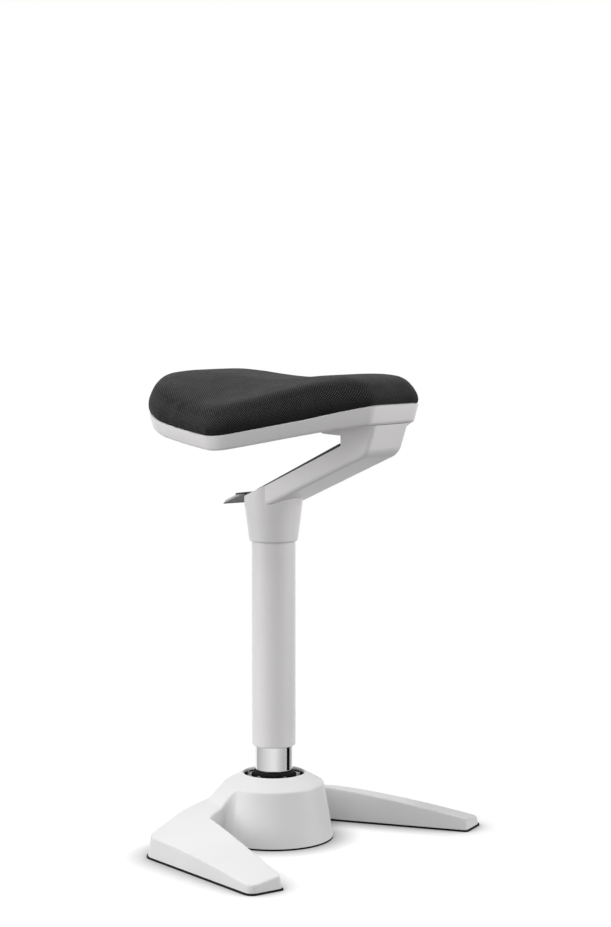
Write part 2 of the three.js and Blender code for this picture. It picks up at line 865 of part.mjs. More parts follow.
function seatArm() {
  let solid = collarBody().add(armBody());
  const socketTop = collar.bottom + cover.socketDepth + gap;
  const socket = cylinder(cover.radius + gap, collar.bottom - overrun, socketTop, sides.wide);
  solid = solid.subtract(toSolid(socket));
  const taperBore = [
    [0, collar.bottom],
    [lift.radius + gap, collar.bottom],
    [lift.radius + gap, lift.taperStart],
    [lift.topRadius + gap, lift.top + gap],
    [0, lift.top + gap],
  ];
  solid = solid.subtract(toSolid(turned(taperBore, sides.middle)));
  const slotHalf = lever.tongueHalfWidth + leverSlot.sideClearance;
  const slotRear = -collar.topRadius - overrun;
  const slotTop = lever.pivotZ + lever.tongueThickness / 2 + lever.swing;
  const slot = block(slotRear, leverSlot.front, -slotHalf, slotHalf, lift.top - gap, slotTop);
  solid = solid.subtract(toSolid(slot));
  solid = solid.subtract(toSolid(leverPin(gap, slotHalf + lever.swing + overrun)));
  solid = solid.subtract(toSolid(sideProfile(armCoverOutline(gap), armCover.halfWidth + gap)));
  armBoltPlaces().forEach(({ x, y }) => {
    const bottom = arm.blockTop - armBolt.length;
    const hole = cylinder(armBolt.shankRadius + gap, bottom, arm.blockTop + overrun, sides.fastener);
    solid = solid.subtract(toSolid(hole.translate(x, y, 0)));
  });
  return toGeometry(solid);
}

function armCoverOutline(clearance) {
  const rear = armCover.rearX - clearance;
  const front = beam.blockX - armCover.frontClearance + clearance;
  const low = armCover.seat + clearance;
  const high = clearance > 0 ? overrun : armCover.thickness - armCover.seat;
  return [
    [rear, beamTop(rear) - low, 0],
    [front, beamTop(front) - low, 0],
    [front, beamTop(front) + high, 0],
    [rear, beamTop(rear) + high, 0],
  ];
}

// Pin across the slot; the clearance swells it to the tool that makes its hole
function leverPin(clearance, halfLength) {
  const pin = cylinder(lever.pinRadius + clearance, -halfLength, halfLength, sides.fastener);
  return pin.rotateX(Math.PI / 2).translate(lever.pivotX, 0, lever.pivotZ);
}

function armBoltPlaces() {
  const places = [];
  [beam.blockX + armBolt.rearInset, beam.noseX - armBolt.frontInset].forEach((x) => {
    [-armBolt.halfSpread, armBolt.halfSpread].forEach((y) => places.push({ x, y }));
  });
  return places;
}

function addArm(parent) {
  add(parent, 'seat_arm', seatArm(), looks.whitePaint());
  add(parent, 'arm_top_cover', sideProfile(armCoverOutline(0), armCover.halfWidth), looks.blackPlastic());
  const pinHalf = lever.tongueHalfWidth + leverSlot.sideClearance + lever.swing;
  add(parent, 'lever_pin', leverPin(0, pinHalf), looks.steel());
}

// Lever and valve pin

function heightLever() {
  const tongueBottom = lever.pivotZ - lever.tongueThickness / 2;
  const tongueTop = lever.pivotZ + lever.tongueThickness / 2;
  const tongue = [
    [lever.tongueFront, tongueBottom, 0],
    [lever.tongueFront, tongueTop, 0],
    [lever.shoulderX, tongueTop, 0],
    [lever.shoulderX, tongueBottom, 0],
  ];
  const paddle = [
    [lever.shoulderX, tongueBottom, 0],
    [lever.shoulderX, lever.shoulderTop, 0],
    [lever.tipX, lever.tipTop, 0],
    [lever.tipX, lever.tipBottom, 0],
  ];
  const body = toSolid(sideProfile(tongue, lever.tongueHalfWidth));
  const planCorners = [
    [lever.shoulderX + overrun, -lever.paddleRootHalfWidth, 0],
    [lever.shoulderX + overrun, lever.paddleRootHalfWidth, 0],
    [lever.tipX, lever.paddleHalfWidth, lever.swing],
    [lever.tipX, -lever.paddleHalfWidth, lever.swing],
  ];
  const plan = roundedOutline(planCorners, cornerSteps);
  const planBlock = loft([flat(plan, lever.tipBottom - overrun), flat(plan, lever.shoulderTop + overrun)]);
  const blade = toSolid(sideProfile(paddle, lever.paddleHalfWidth)).intersect(toSolid(planBlock));
  const hole = toSolid(leverPin(gap, lever.paddleHalfWidth));
  return toGeometry(body.add(blade).subtract(hole));
}

// The button stands just under the lever's tongue
function valvePinBody() {
  const top = lever.pivotZ - lever.tongueThickness / 2 - gap;
  const buttonBottom = top - valvePin.buttonHeight;
  const profile = [
    [0, lift.top - valvePin.buried],
    [valvePin.radius, lift.top - valvePin.buried],
    [valvePin.radius, buttonBottom],
    [valvePin.buttonRadius, buttonBottom],
    [valvePin.buttonRadius, top],
    [0, top],
  ];
  return turned(profile, sides.fastener);
}

function addLever(parent) {
  add(parent, 'height_lever', heightLever(), looks.greyPlastic());
  add(parent, 'valve_pin', valvePinBody(), looks.steel());
}

// Seat shell, board and cushion

function seatCorners() {
  const near = [
    [seat.rearX, -seat.rearHalfWidth, seat.rearRound],
    [seat.flankX, -seat.flankHalfWidth, seat.flankRound],
    [seat.wingX, -seat.wingHalfWidth, seat.wingRound],
    [seat.noseX, -seat.noseHalfWidth, seat.noseRound],
  ];
  return [...near, ...mirrored(near)];
}

// Evenly spaced points, so that straight sides can follow the drooping heights too
function seatOutline(drawnIn) {
  const rounded = roundedOutline(inset(seatCorners(), drawnIn), 3 * cornerSteps);
  return new THREE.Path([...rounded, rounded[0]]).getSpacedPoints(seatOutlinePoints).slice(1);
}

// Lower face of the seat: flat in the middle, its wings drooping
function undersideHeight(x, y) {
  const out = Math.max(0, Math.abs(y) - seat.flatHalfWidth);
  const outShare = out / (seat.wingHalfWidth - seat.flatHalfWidth);
  const backShare = (x - seat.wingX) / seat.droopReach;
  return seat.underside - seat.wingDroop * outShare * (1 - backShare * backShare);
}

function rimTopHeight(x, y) {
  const noseShare = Math.max(0, (x - seat.noseX + pan.noseRiseLength) / pan.noseRiseLength);
  return undersideHeight(x, y) + pan.rimHeight + pan.noseRise * noseShare;
}

function towardsAxis(outline, share) {
  return outline.map((corner) => corner.clone().multiplyScalar(share));
}

function onSurface(outline, heightAt, rise) {
  return outline.map(({ x, y }) => new THREE.Vector3(x, y, heightAt(x, y) + rise));
}

// A slab whose lower and upper faces follow two heights, with rings closing in on the axis
function saddleSlab(lowOutline, highOutline, lowAt, lowRise, highAt, highRise) {
  const inner = [...crownRingShares].reverse();
  const low = inner.map((share) => onSurface(towardsAxis(lowOutline, share), lowAt, lowRise));
  const high = crownRingShares.map((share) => onSurface(towardsAxis(highOutline, share), highAt, highRise));
  return loft([
    ...low,
    onSurface(lowOutline, lowAt, lowRise),
    onSurface(highOutline, highAt, highRise),
    ...high,
  ]);
}

function screwPlaces() {
  return boardScrewShares.flatMap(([forwardShare, outShare]) => {
    const x = forwardShare * seat.noseX;
    const y = outShare * seat.wingHalfWidth;
    return [{ x, y }, { x, y: -y }];
  });
}

// Top of the post under a board screw, below the board's lower face all round the post
function postTop(x, y) {
  const lowest = Math.min(rimTopHeight(x, y - pan.postRadius), rimTopHeight(x, y + pan.postRadius));
  return lowest - board.inset - board.thickness - gap;
}

function seatPan() {
  const foot = seatOutline(pan.rimDraft);
  const shell = toSolid(saddleSlab(foot, seatOutline(0), undersideHeight, 0, rimTopHeight, 0));
  const innerRim = seatOutline(pan.wall);
  const innerFoot = seatOutline(pan.rimDraft + pan.wall);
  const hollow = saddleSlab(innerFoot, innerRim, undersideHeight, pan.floor, rimTopHeight, overrun);
  const bossOutline = [
    [panBoss.rearX, seat.underside + pan.floor / 2, 0],
    [beam.blockX - gap, seat.underside - panBoss.depth, 0],
    [beam.blockX - gap, seat.underside + pan.floor / 2, 0],
  ];
  let solid = shell.subtract(toSolid(hollow));
  solid = solid.add(toSolid(sideProfile(bossOutline, panBoss.halfWidth)));
  screwPlaces().forEach(({ x, y }) => {
    const floorLevel = undersideHeight(x, y);
    const post = cylinder(pan.postRadius, floorLevel + pan.floor / 2, postTop(x, y), sides.small);
    const recessTop = floorLevel + boardScrew.recess;
    const recessBottom = floorLevel - pan.rimHeight;
    const recess = cylinder(boardScrew.headRadius + gap, recessBottom, recessTop, sides.small);
    const holeTop = postTop(x, y) + overrun;
    const hole = cylinder(boardScrew.shankRadius + gap, floorLevel, holeTop, sides.fastener);
    solid = solid.add(toSolid(post.translate(x, y, 0)));
    solid = solid.subtract(toSolid(recess.translate(x, y, 0))).subtract(toSolid(hole.translate(x, y, 0)));
  });
  return toGeometry(drilledForArmBolts(solid));
}

// Clearance holes for the bolts through the pan's floor and the plate on it
function drilledForArmBolts(body) {
  return armBoltPlaces().reduce((solid, { x, y }) => {
    const top = seat.underside + pan.rimHeight;
    const hole = cylinder(armBolt.shankRadius + gap, seat.underside - overrun, top, sides.fastener);
    return solid.subtract(toSolid(hole.translate(x, y, 0)));
  }, body);
}

function plateBottom() {
  return seat.underside + pan.floor + gap;
}

function mountPlate() {
  const half = plate.halfWidth;
  const top = plateBottom() + plate.thickness;
  const body = block(plate.rearX, plate.frontX, -half, half, plateBottom(), top);
  return toGeometry(drilledForArmBolts(toSolid(body)));
}

function seatBoard() {
  const edge = pan.wall + board.clearance;
  const slab = saddleSlab(
    seatOutline(edge + (pan.rimDraft * board.thickness) / pan.rimHeight),
    seatOutline(edge),
    rimTopHeight,
    -board.inset - board.thickness,
    rimTopHeight,
    -board.inset,
  );
  let solid = toSolid(slab);
  screwPlaces().forEach(({ x, y }) => {
    const top = undersideHeight(x, y) + boardScrew.recess + boardScrew.length + gap;
    const hole = cylinder(boardScrew.shankRadius + gap, undersideHeight(x, y), top, sides.fastener);
    const roomTop = postTop(x, y) + gap;
    const postRoom = cylinder(pan.postRadius + gap, undersideHeight(x, y), roomTop, sides.small);
    solid = solid.subtract(toSolid(hole.translate(x, y, 0)));
    solid = solid.subtract(toSolid(postRoom.translate(x, y, 0)));
  });
  return toGeometry(solid);
}

// Height of the cushion's crown above the rim: level along the ridge, with a dip and two rolled ends
function crownHeight(x, y) {
  const dipShare = Math.exp(-(((x - cushion.dipX) / cushion.dipReach) ** 2));
  const noseShare = Math.max(0, 1 - (seat.noseX - x) / cushion.noseRollLength) ** 2;
  const rearShare = Math.max(0, 1 - (x - seat.rearX) / cushion.rearRollLength) ** 2;
  const crown = cushion.edgeHeight - cushion.dip * dipShare;
  return crown - cushion.noseRoll * noseShare - cushion.rearRoll * rearShare;
}

function seatCushion() {
  const rim = seatOutline(0);
  const outline = seatOutline(-cushion.overhang);
  const inner = [...crownRingShares].reverse();
  const rings = inner.map((share) => onSurface(towardsAxis(rim, share), rimTopHeight, cushion.rest));
  rings.push(onSurface(rim, rimTopHeight, cushion.rest));
  const drawnIn = (share) => outline.map((corner) => {
    const distance = corner.length();
    return corner.clone().multiplyScalar((distance - share * cushion.edgeHeight) / distance);
  });
  cushionEdgeShares.forEach(([rise, inShare]) => {
    const wallHeight = (x, y) => rimTopHeight(x, y) + rise * crownHeight(x, y);
    rings.push(onSurface(drawnIn(inShare), wallHeight, cushion.rest));
  });
  const top = drawnIn(cushionEdgeShares[cushionEdgeShares.length - 1][1]);
  const crownAt = (x, y) => rimTopHeight(x, y) + crownHeight(x, y);
  crownRingShares.forEach((share) => rings.push(onSurface(towardsAxis(top, share), crownAt, cushion.rest)));
  return loft(rings);
}

function addSeat(parent) {
  add(parent, 'seat_pan', seatPan(), looks.whitePaint());
  add(parent, 'mount_plate', mountPlate(), looks.blackSteel());
  armBoltPlaces().forEach(({ x, y }, i) => {
    const mesh = add(parent, `arm_bolt_${i + 1}`, screw(armBolt), looks.blackSteel());
    mesh.rotation.x = Math.PI;
    mesh.position.set(x, y, plateBottom() + plate.thickness + gap + armBolt.headHeight);
  });
  add(parent, 'seat_board', seatBoard(), looks.plywood());
  screwPlaces().forEach(({ x, y }, i) => {
    const mesh = add(parent, `board_screw_${i + 1}`, screw(boardScrew), looks.steel());
    mesh.position.set(x, y, undersideHeight(x, y) + boardScrew.recess - gap - boardScrew.headHeight);
  });
  add(parent, 'seat_cushion', seatCushion(), looks.fabric());
}

const stool = new THREE.Group();
stool.name = 'perch_stool';
addBase(stool);
addColumn(stool);
addRod(stool);
addLift(stool);
addArm(stool);
addLever(stool);
addSeat(stool);

export default stool;
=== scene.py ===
import math

import bmesh
import bpy
from mathutils import Matrix, Vector


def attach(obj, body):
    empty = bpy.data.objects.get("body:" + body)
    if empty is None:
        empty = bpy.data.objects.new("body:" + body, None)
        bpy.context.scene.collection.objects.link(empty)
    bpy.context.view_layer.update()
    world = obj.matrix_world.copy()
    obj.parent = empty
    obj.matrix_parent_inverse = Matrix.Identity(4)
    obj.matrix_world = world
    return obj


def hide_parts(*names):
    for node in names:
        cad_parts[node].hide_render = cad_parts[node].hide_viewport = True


# Perch stool. Metres, Z up, the column on the Z axis, +X towards the toes of the base and the nose of the seat.
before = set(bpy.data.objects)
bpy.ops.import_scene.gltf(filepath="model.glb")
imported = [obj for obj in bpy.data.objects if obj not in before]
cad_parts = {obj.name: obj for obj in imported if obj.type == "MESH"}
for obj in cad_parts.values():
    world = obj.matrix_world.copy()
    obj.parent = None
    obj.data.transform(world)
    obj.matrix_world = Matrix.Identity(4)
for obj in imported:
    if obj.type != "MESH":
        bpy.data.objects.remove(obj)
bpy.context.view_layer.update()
print("frame loaded")


# ---- mesh helpers

def linked(name, data):
    obj = bpy.data.objects.new(name, data)
    bpy.context.scene.collection.objects.link(obj)
    return obj


def discard(obj):
    mesh = obj.data
    bpy.data.objects.remove(obj)
    bpy.data.meshes.remove(mesh)


def evaluatedMesh(obj):
    bpy.context.view_layer.update()
    return bpy.data.meshes.new_from_object(obj.evaluated_get(bpy.context.evaluated_depsgraph_get()))


def addObject(name, mesh, sharpAngle=35, evenShading=False):
    mesh.name = name
    mesh.polygons.foreach_set("use_smooth", [True] * len(mesh.polygons))
    mesh.set_sharp_from_angle(angle=math.radians(sharpAngle))
    obj = linked(name, mesh)
    if evenShading:  # large flat faces stay flat beside narrow rounds
        modifier = obj.modifiers.new("evenShading", "WEIGHTED_NORMAL")
        modifier.keep_sharp = True
    return obj


def toMesh(bm):
    mesh = bpy.data.meshes.new("work")
    bm.to_mesh(mesh)
    bm.free()
    return mesh


def fromMesh(mesh):
    bm = bmesh.new()
    bm.from_mesh(mesh)
    bpy.data.meshes.remove(mesh)
    return bm


def cleaned(bm, distance=1e-6):
    bmesh.ops.remove_doubles(bm, verts=bm.verts, dist=distance)
    bmesh.ops.recalc_face_normals(bm, faces=bm.faces)
    return bm


# An open line of [radius, height] points turned about the column; closed joins its two ends
def spun(profile, steps=96, closed=True):
    bm = bmesh.new()
    verts = [bm.verts.new((radius, 0, height)) for radius, height in profile]
    pairs = list(zip(verts, verts[1:]))
    if closed:
        pairs.append((verts[-1], verts[0]))
    edges = [bm.edges.new(pair) for pair in pairs]
    bmesh.ops.spin(bm, geom=verts + edges, cent=(0, 0, 0), axis=(0, 0, 1),
                   angle=2 * math.pi, steps=steps, use_merge=True)
    return cleaned(bm)


# A plain ring's section
def band(inner, outer, bottom, top):
    return [(inner, bottom), (outer, bottom), (outer, top), (inner, top)]


def roundBar(radius, bottom, top, steps):
    return spun([(0, bottom), (radius, bottom), (radius, top), (0, top)], steps, closed=False)


def bevelWhere(bm, width, segments, chosen):
    edges = [edge for edge in bm.edges if len(edge.link_faces) == 2 and chosen(edge)]
    bmesh.ops.bevel(bm, geom=edges, offset=width, offset_type="OFFSET", segments=segments,
                    profile=0.5, affect="EDGES", material=-1, clamp_overlap=True)


def bevelSharp(bm, width, segments=3, angle=30):
    least = math.radians(angle)
    bevelWhere(bm, width, segments, lambda edge: edge.calc_face_angle(0) > least)


# How far a round of this radius reaches from its corner along both sides
def roundReach(corners, i):
    x, y, radius = corners[i]
    before = Vector(corners[i - 1][:2]) - Vector((x, y))
    after = Vector(corners[(i + 1) % len(corners)][:2]) - Vector((x, y))
    return radius / math.tan(before.angle(after) / 2)


# A flat outline of [x, y, round] corners; each round is cut by its own vertex bevel
def outlineFace(bm, corners, height, segments=6):
    verts = [bm.verts.new((x, y, height)) for x, y, _ in corners]
    bm.faces.new(verts)
    for i, vert in enumerate(verts):
        if corners[i][2]:
            bmesh.ops.bevel(bm, geom=[vert], offset=roundReach(corners, i), offset_type="OFFSET", profile=0.5,
                            segments=segments, affect="VERTICES", material=-1, clamp_overlap=False)


# Pushes a face out, leaving the old one as the block's other end
def pushedOut(bm, face, vec):
    moveGrown(bm, bmesh.ops.extrude_face_region(bm, geom=[face]), vec)
    return cleaned(bm)


def moveGrown(bm, grown, vec):
    moved = [item for item in grown["geom"] if isinstance(item, bmesh.types.BMVert)]
    bmesh.ops.translate(bm, vec=vec, verts=moved)


# A side outline of [x, z] corners pushed out to both sides of the middle plane
def sideBlock(corners, halfWidth):
    bm = bmesh.new()
    face = bm.faces.new([bm.verts.new((x, -halfWidth, z)) for x, z in corners])
    return pushedOut(bm, face, (0, 2 * halfWidth, 0))


def box(low, high):
    bm = bmesh.new()
    size = [b - a for a, b in zip(low, high)]
    middle = [(a + b) / 2 for a, b in zip(low, high)]
    bmesh.ops.create_cube(bm, size=1)
    bmesh.ops.scale(bm, vec=size, verts=bm.verts)
    bmesh.ops.translate(bm, vec=middle, verts=bm.verts)
    return bm


def joined(parts):
    bm = bmesh.new()
    for part in parts:
        mesh = toMesh(part)
        bm.from_mesh(mesh)
        bpy.data.meshes.remove(mesh)
    return bm


def mirroredCopy(bm):
    copy = bm.copy()
    bmesh.ops.scale(copy, vec=(1, -1, 1), verts=copy.verts)
    bmesh.ops.recalc_face_normals(copy, faces=copy.faces)
    return copy


# Runs modifiers on a bmesh and gives back the shaped bmesh
def shaped(bm, *settings):
    obj = linked("work", toMesh(bm))
    for kind, values in settings:
        modifier = obj.modifiers.new(kind, kind)
        for key, value in values.items():
            setattr(modifier, key, value)
    result = fromMesh(evaluatedMesh(obj))
    discard(obj)
    return result


def combined(bm, tool, operation):
    helper = linked("tool", toMesh(tool))
    result = shaped(bm, ("BOOLEAN", {"operation": operation, "solver": "EXACT", "object": helper}))
    discard(helper)
    return result


def voxelled(bm, size):
    return shaped(bm, ("REMESH", {"mode": "VOXEL", "voxel_size": size, "adaptivity": 0}))


def smoothed(bm, rounds, chosen=None):
    verts = [vert for vert in bm.verts if chosen is None or chosen(vert)]
    for _ in range(rounds):
        bmesh.ops.smooth_vert(bm, verts=verts, factor=0.5, use_axis_x=True, use_axis_y=True, use_axis_z=True)


def cutBelow(bm, height):
    geom = bm.verts[:] + bm.edges[:] + bm.faces[:]
    bmesh.ops.bisect_plane(bm, geom=geom, dist=1e-7, plane_co=(0, 0, height), plane_no=(0, 0, 1), clear_inner=True)
    bmesh.ops.holes_fill(bm, edges=[edge for edge in bm.edges if edge.is_boundary], sides=0)


def dress(obj, body, slotName, material, *nodes):
    obj.data.materials.clear()
    obj.data.materials.append(material)
    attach(obj, body)
    if nodes:
        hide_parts(*nodes)
    return obj


# ---- materials

def newMaterial(name, **sockets):
    material = bpy.data.materials.new(name)
    material.use_nodes = True
    shader = material.node_tree.nodes["Principled BSDF"]
    for key, value in sockets.items():
        shader.inputs[key.replace("_", " ")].default_value = value
    return material, material.node_tree, shader


def addNode(tree, kind, **values):
    node = tree.nodes.new(kind)
    for key, value in values.items():
        if hasattr(node, key):
            setattr(node, key, value)
        else:
            node.inputs[key.replace("_", " ")].default_value = value
    return node


# A math node on two sources, each a number or another node's output
def figured(tree, operation, *sources):
    node = addNode(tree, "ShaderNodeMath", operation=operation)
    for socket, source in zip(node.inputs, sources):
        if isinstance(source, (int, float)):
            socket.default_value = source
        else:
            tree.links.new(source, socket)
    return node.outputs[0]


def noiseAt(tree, scale, detail=4, roughness=0.55, stretch=(1, 1, 1)):
    coords = addNode(tree, "ShaderNodeTexCoord")
    mapping = addNode(tree, "ShaderNodeMapping")
    mapping.inputs["Scale"].default_value = stretch
    texture = addNode(tree, "ShaderNodeTexNoise", Scale=scale, Detail=detail, Roughness=roughness)
    tree.links.new(coords.outputs["Object"], mapping.inputs["Vector"])
    tree.links.new(mapping.outputs["Vector"], texture.inputs["Vector"])
    return texture.outputs["Fac"]


def spread(tree, value, low, high, fromLow=0.3, fromHigh=0.7):
    node = addNode(tree, "ShaderNodeMapRange")
    tree.links.new(value, node.inputs["Value"])
    for key, number in (("From Min", fromLow), ("From Max", fromHigh), ("To Min", low), ("To Max", high)):
        node.inputs[key].default_value = number
    return node.outputs["Result"]


def tint(tree, value, dark, light):
    node = addNode(tree, "ShaderNodeMix", data_type="RGBA")
    tree.links.new(value, node.inputs["Factor"])
    node.inputs["A"].default_value = (*dark, 1)
    node.inputs["B"].default_value = (*light, 1)
    return node.outputs["Result"]


def bump(tree, shader, value, strength, distance):
    node = addNode(tree, "ShaderNodeBump", Strength=strength, Distance=distance)
    tree.links.new(value, node.inputs["Height"])
    tree.links.new(node.outputs["Normal"], shader.inputs["Normal"])


# 0 on steep faces, 1 on faces that look up
def lookingUp(tree, low, high):
    facing = addNode(tree, "ShaderNodeSeparateXYZ")
    tree.links.new(addNode(tree, "ShaderNodeNewGeometry").outputs["Normal"], facing.inputs["Vector"])
    return spread(tree, facing.outputs["Z"], 0, 1, low, high)


# A plain finish: slow tone drift, uneven gloss and a fine skin
def plainFinish(name, **sockets):
    settings = finishes[name]
    stretch = settings.get("stretch", (1, 1, 1))
    material, tree, shader = newMaterial(name, **sockets)
    drift = spread(tree, noiseAt(tree, settings["drift"]), 0, 1)
    tree.links.new(tint(tree, drift, settings["dark"], settings["light"]), shader.inputs["Base Color"])
    gloss = noiseAt(tree, settings["gloss"], stretch=stretch)
    low, high = settings["roughness"]
    tree.links.new(spread(tree, gloss, low, high), shader.inputs["Roughness"])
    scale, strength, depth = settings["skin"]
    bump(tree, shader, noiseAt(tree, scale, detail=2, stretch=stretch), strength, depth)
    return material


# drift and gloss are noise scales; skin is (noise scale, strength, depth)
finishes = {
    "powderCoat": {"dark": (0.76, 0.757, 0.758), "light": (0.8, 0.797, 0.798), "drift": 9, "gloss": 60,
                   "roughness": (0.34, 0.46), "skin": (900, 0.1, 0.0002)},
    "paintedAlloy": {"dark": (0.855, 0.838, 0.844), "light": (0.885, 0.868, 0.874), "drift": 12, "gloss": 70,
                     "roughness": (0.32, 0.42), "skin": (1100, 0.08, 0.00015)},
    "mouldedWhite": {"dark": (0.835, 0.818, 0.824), "light": (0.865, 0.848, 0.854), "drift": 10, "gloss": 80,
                     "roughness": (0.3, 0.4), "skin": (1400, 0.06, 0.0001)},
    "rubber": {"dark": (0.004, 0.004, 0.004), "light": (0.009, 0.009, 0.009), "drift": 40, "gloss": 200,
               "roughness": (0.6, 0.8), "skin": (1500, 0.3, 0.0002)},
    "blackPlastic": {"dark": (0.012, 0.012, 0.012), "light": (0.02, 0.02, 0.021), "drift": 30, "gloss": 150,
                     "roughness": (0.4, 0.55), "skin": (2200, 0.25, 0.0001)},
    # greyPlastic's slope is the pale tone of the painted highlight on the lever's upward slopes
    "greyPlastic": {"dark": (0.11, 0.11, 0.112), "light": (0.14, 0.14, 0.143), "drift": 30, "gloss": 150,
                    "roughness": (0.35, 0.5), "skin": (2000, 0.2, 0.0001), "slope": (0.62, 0.61, 0.615)},
    "blackSteel": {"dark": (0.02, 0.02, 0.022), "light": (0.05, 0.05, 0.055), "drift": 60, "gloss": 220,
                   "roughness": (0.35, 0.5), "skin": (1800, 0.15, 0.0001)},
    "turnedSteel": {"dark": (0.42, 0.43, 0.44), "light": (0.58, 0.59, 0.6), "drift": 50, "gloss": 90,
                    "roughness": (0.25, 0.42), "skin": (260, 0.2, 0.0001), "stretch": (1, 1, 14)},
    "chrome": {"dark": (0.72, 0.715, 0.72), "light": (0.78, 0.775, 0.78), "drift": 20, "gloss": 120,
               "roughness": (0.08, 0.12), "skin": (500, 0.02, 0.00005)},
    "dullSteel": {"dark": (0.24, 0.24, 0.245), "light": (0.32, 0.32, 0.325), "drift": 60, "gloss": 120,
                  "roughness": (0.42, 0.56), "skin": (900, 0.2, 0.0001)},
    "plywood": {"dark": (0.42, 0.27, 0.14), "light": (0.62, 0.45, 0.28), "drift": 55, "gloss": 120,
                "roughness": (0.55, 0.75), "skin": (300, 0.3, 0.0002), "stretch": (0.06, 1, 6)},
}
powderCoat = plainFinish("powderCoat", Specular_IOR_Level=0.4)
paintedAlloy = plainFinish("paintedAlloy", Specular_IOR_Level=0.45)
mouldedWhite = plainFinish("mouldedWhite", Specular_IOR_Level=0.45)
rubber = plainFinish("rubber", Specular_IOR_Level=0.12)
blackPlastic = plainFinish("blackPlastic")
blackSteel = plainFinish("blackSteel", Metallic=0.6)
turnedSteel = plainFinish("turnedSteel", Metallic=1.0)
dullSteel = plainFinish("dullSteel", Metallic=1.0)
chrome = plainFinish("chrome", Metallic=1.0)
plywood = plainFinish("plywood")

# edgeShade is the tone of the painted shade at the shell's rim, and edgeReach how high above the rim it fades out
knit = {"pitch": 0.0023, "slant": 38, "base": (0.003, 0.003, 0.0031), "dot": (0.085, 0.084, 0.084),
        "edgeShade": 0.4, "edgeReach": 0.02}


def loopRows(tree, coords):
    mapping = addNode(tree, "ShaderNodeMapping")
    mapping.inputs["Rotation"].default_value = (0, 0, math.radians(knit["slant"]))
    mapping.inputs["Scale"].default_value = (math.pi / knit["pitch"],) * 3
    parts = addNode(tree, "ShaderNodeSeparateXYZ")
    tree.links.new(coords, mapping.inputs["Vector"])
    tree.links.new(mapping.outputs["Vector"], parts.inputs["Vector"])
    sines = [figured(tree, "SINE", parts.outputs[axis]) for axis in ("X", "Y")]
    return figured(tree, "MULTIPLY", *[figured(tree, "MULTIPLY", sine, sine) for sine in sines])


# Knitted mesh: offset rows of small light loops over a dark ground, on the cushion's own cloth map, with painted
# shade darkening the cloth towards the shell's rim
def knitFabric():
    material, tree, shader = newMaterial("knitFabric", Sheen_Weight=0.07, Sheen_Roughness=0.45,
                                         Specular_IOR_Level=0.15)
    shader.inputs["Sheen Tint"].default_value = (0.85, 0.86, 0.88, 1)
    around = addNode(tree, "ShaderNodeUVMap", uv_map="clothMap").outputs["UV"]
    flat = addNode(tree, "ShaderNodeTexCoord").outputs["Object"]
    loops = addNode(tree, "ShaderNodeMix", data_type="FLOAT")
    tree.links.new(lookingUp(tree, 0.5, 0.85), loops.inputs["Factor"])
    tree.links.new(loopRows(tree, around), loops.inputs["A"])
    tree.links.new(loopRows(tree, flat), loops.inputs["B"])
    uneven = spread(tree, noiseAt(tree, 700, detail=2), 0.75, 1.15)
    worn = figured(tree, "MULTIPLY", loops.outputs["Result"], uneven)
    share = spread(tree, worn, 0, 1, 0.25, 0.8)
    # Painted shade: the cloth is darkened towards the shell's rim, by its height above the rim
    height = addNode(tree, "ShaderNodeSeparateXYZ")
    tree.links.new(addNode(tree, "ShaderNodeUVMap", uv_map="rimMap").outputs["UV"], height.inputs["Vector"])
    shade = spread(tree, height.outputs["X"], knit["edgeShade"], 1, 0, knit["edgeReach"])
    shaded = addNode(tree, "ShaderNodeVectorMath", operation="SCALE")
    tree.links.new(tint(tree, share, knit["base"], knit["dot"]), shaded.inputs[0])
    tree.links.new(shade, shaded.inputs["Scale"])
    tree.links.new(shaded.outputs["Vector"], shader.inputs["Base Color"])
    tree.links.new(spread(tree, noiseAt(tree, 40), 0.78, 0.95), shader.inputs["Roughness"])
    bump(tree, shader, worn, 0.6, 0.0004)
    return material


fabric = knitFabric()


# Grey plastic with a painted highlight: the slopes that face up are painted pale
def leverWithPaintedHighlight():
    material = plainFinish("greyPlastic")
    tree = material.node_tree
    shader = tree.nodes["Principled BSDF"]
    grey = shader.inputs["Base Color"].links[0].from_socket
    node = addNode(tree, "ShaderNodeMix", data_type="RGBA")
    # Painted highlight: the upward slopes take the pale tone
    tree.links.new(lookingUp(tree, 0.3, 0.5), node.inputs["Factor"])
    tree.links.new(grey, node.inputs["A"])
    node.inputs["B"].default_value = (*finishes["greyPlastic"]["slope"], 1)
    tree.links.new(node.outputs["Result"], shader.inputs["Base Color"])
    return material


greyPlastic = leverWithPaintedHighlight()
print("materials made")


# ---- base: hub, two swept legs, sole and a black ring in the well, put there as painted shade inside the well

base = {
    "footRadius": 0.079, "shoulderRadius": 0.0665, "shoulderHeight": 0.074, "topHeight": 0.088,
    "openingRadius": 0.0404, "lip": 0.0005, "bottom": 0.0024, "below": -0.006, "sink": -0.012, "draft": 0.15,
    "legCorners": [(0, 0.024, 0), (-0.0772, 0.024, 0), (-0.080, 0, 0), (-0.074, -0.110, 0.060),
                   (-0.054, -0.191, 0.020), (0.1715, -0.234, 0.011), (0.1835, -0.185, 0.004),
                   (-0.006, -0.108, 0.014), (-0.008, -0.0786, 0.014), (0.027, -0.0742, 0), (0, 0, 0)],
    "legHeadroom": 0.004, "deckApex": 0.0693, "deckFall": 0.175, "deckSpread": 1.22, "skirtFoot": 0.132,
    "well": [(0, -0.02), (0.074, -0.02), (0.0735, 0.0024), (0.0615, 0.069), (0.0404, 0.0838), (0.0404, 0.0862),
             (0.0409, 0.0871), (0.0418, 0.0877), (0.0435, 0.0884), (0, 0.0884)],
    "soleThickness": 0.0022, "soleRound": 0.0004,
}
# Softening of the casting: each pass over the blend has its outer radius and its front limit in x
casting = {"voxel": 0.00145, "edgeRounds": 2, "passRounds": 18, "startGap": 0.002,
           "passes": ((0.088, -0.012), (0.096, -0.020), (0.106, -0.028)),
           "low": 0.03, "high": 0.073, "backX": -0.03, "deckFacing": 0.3}


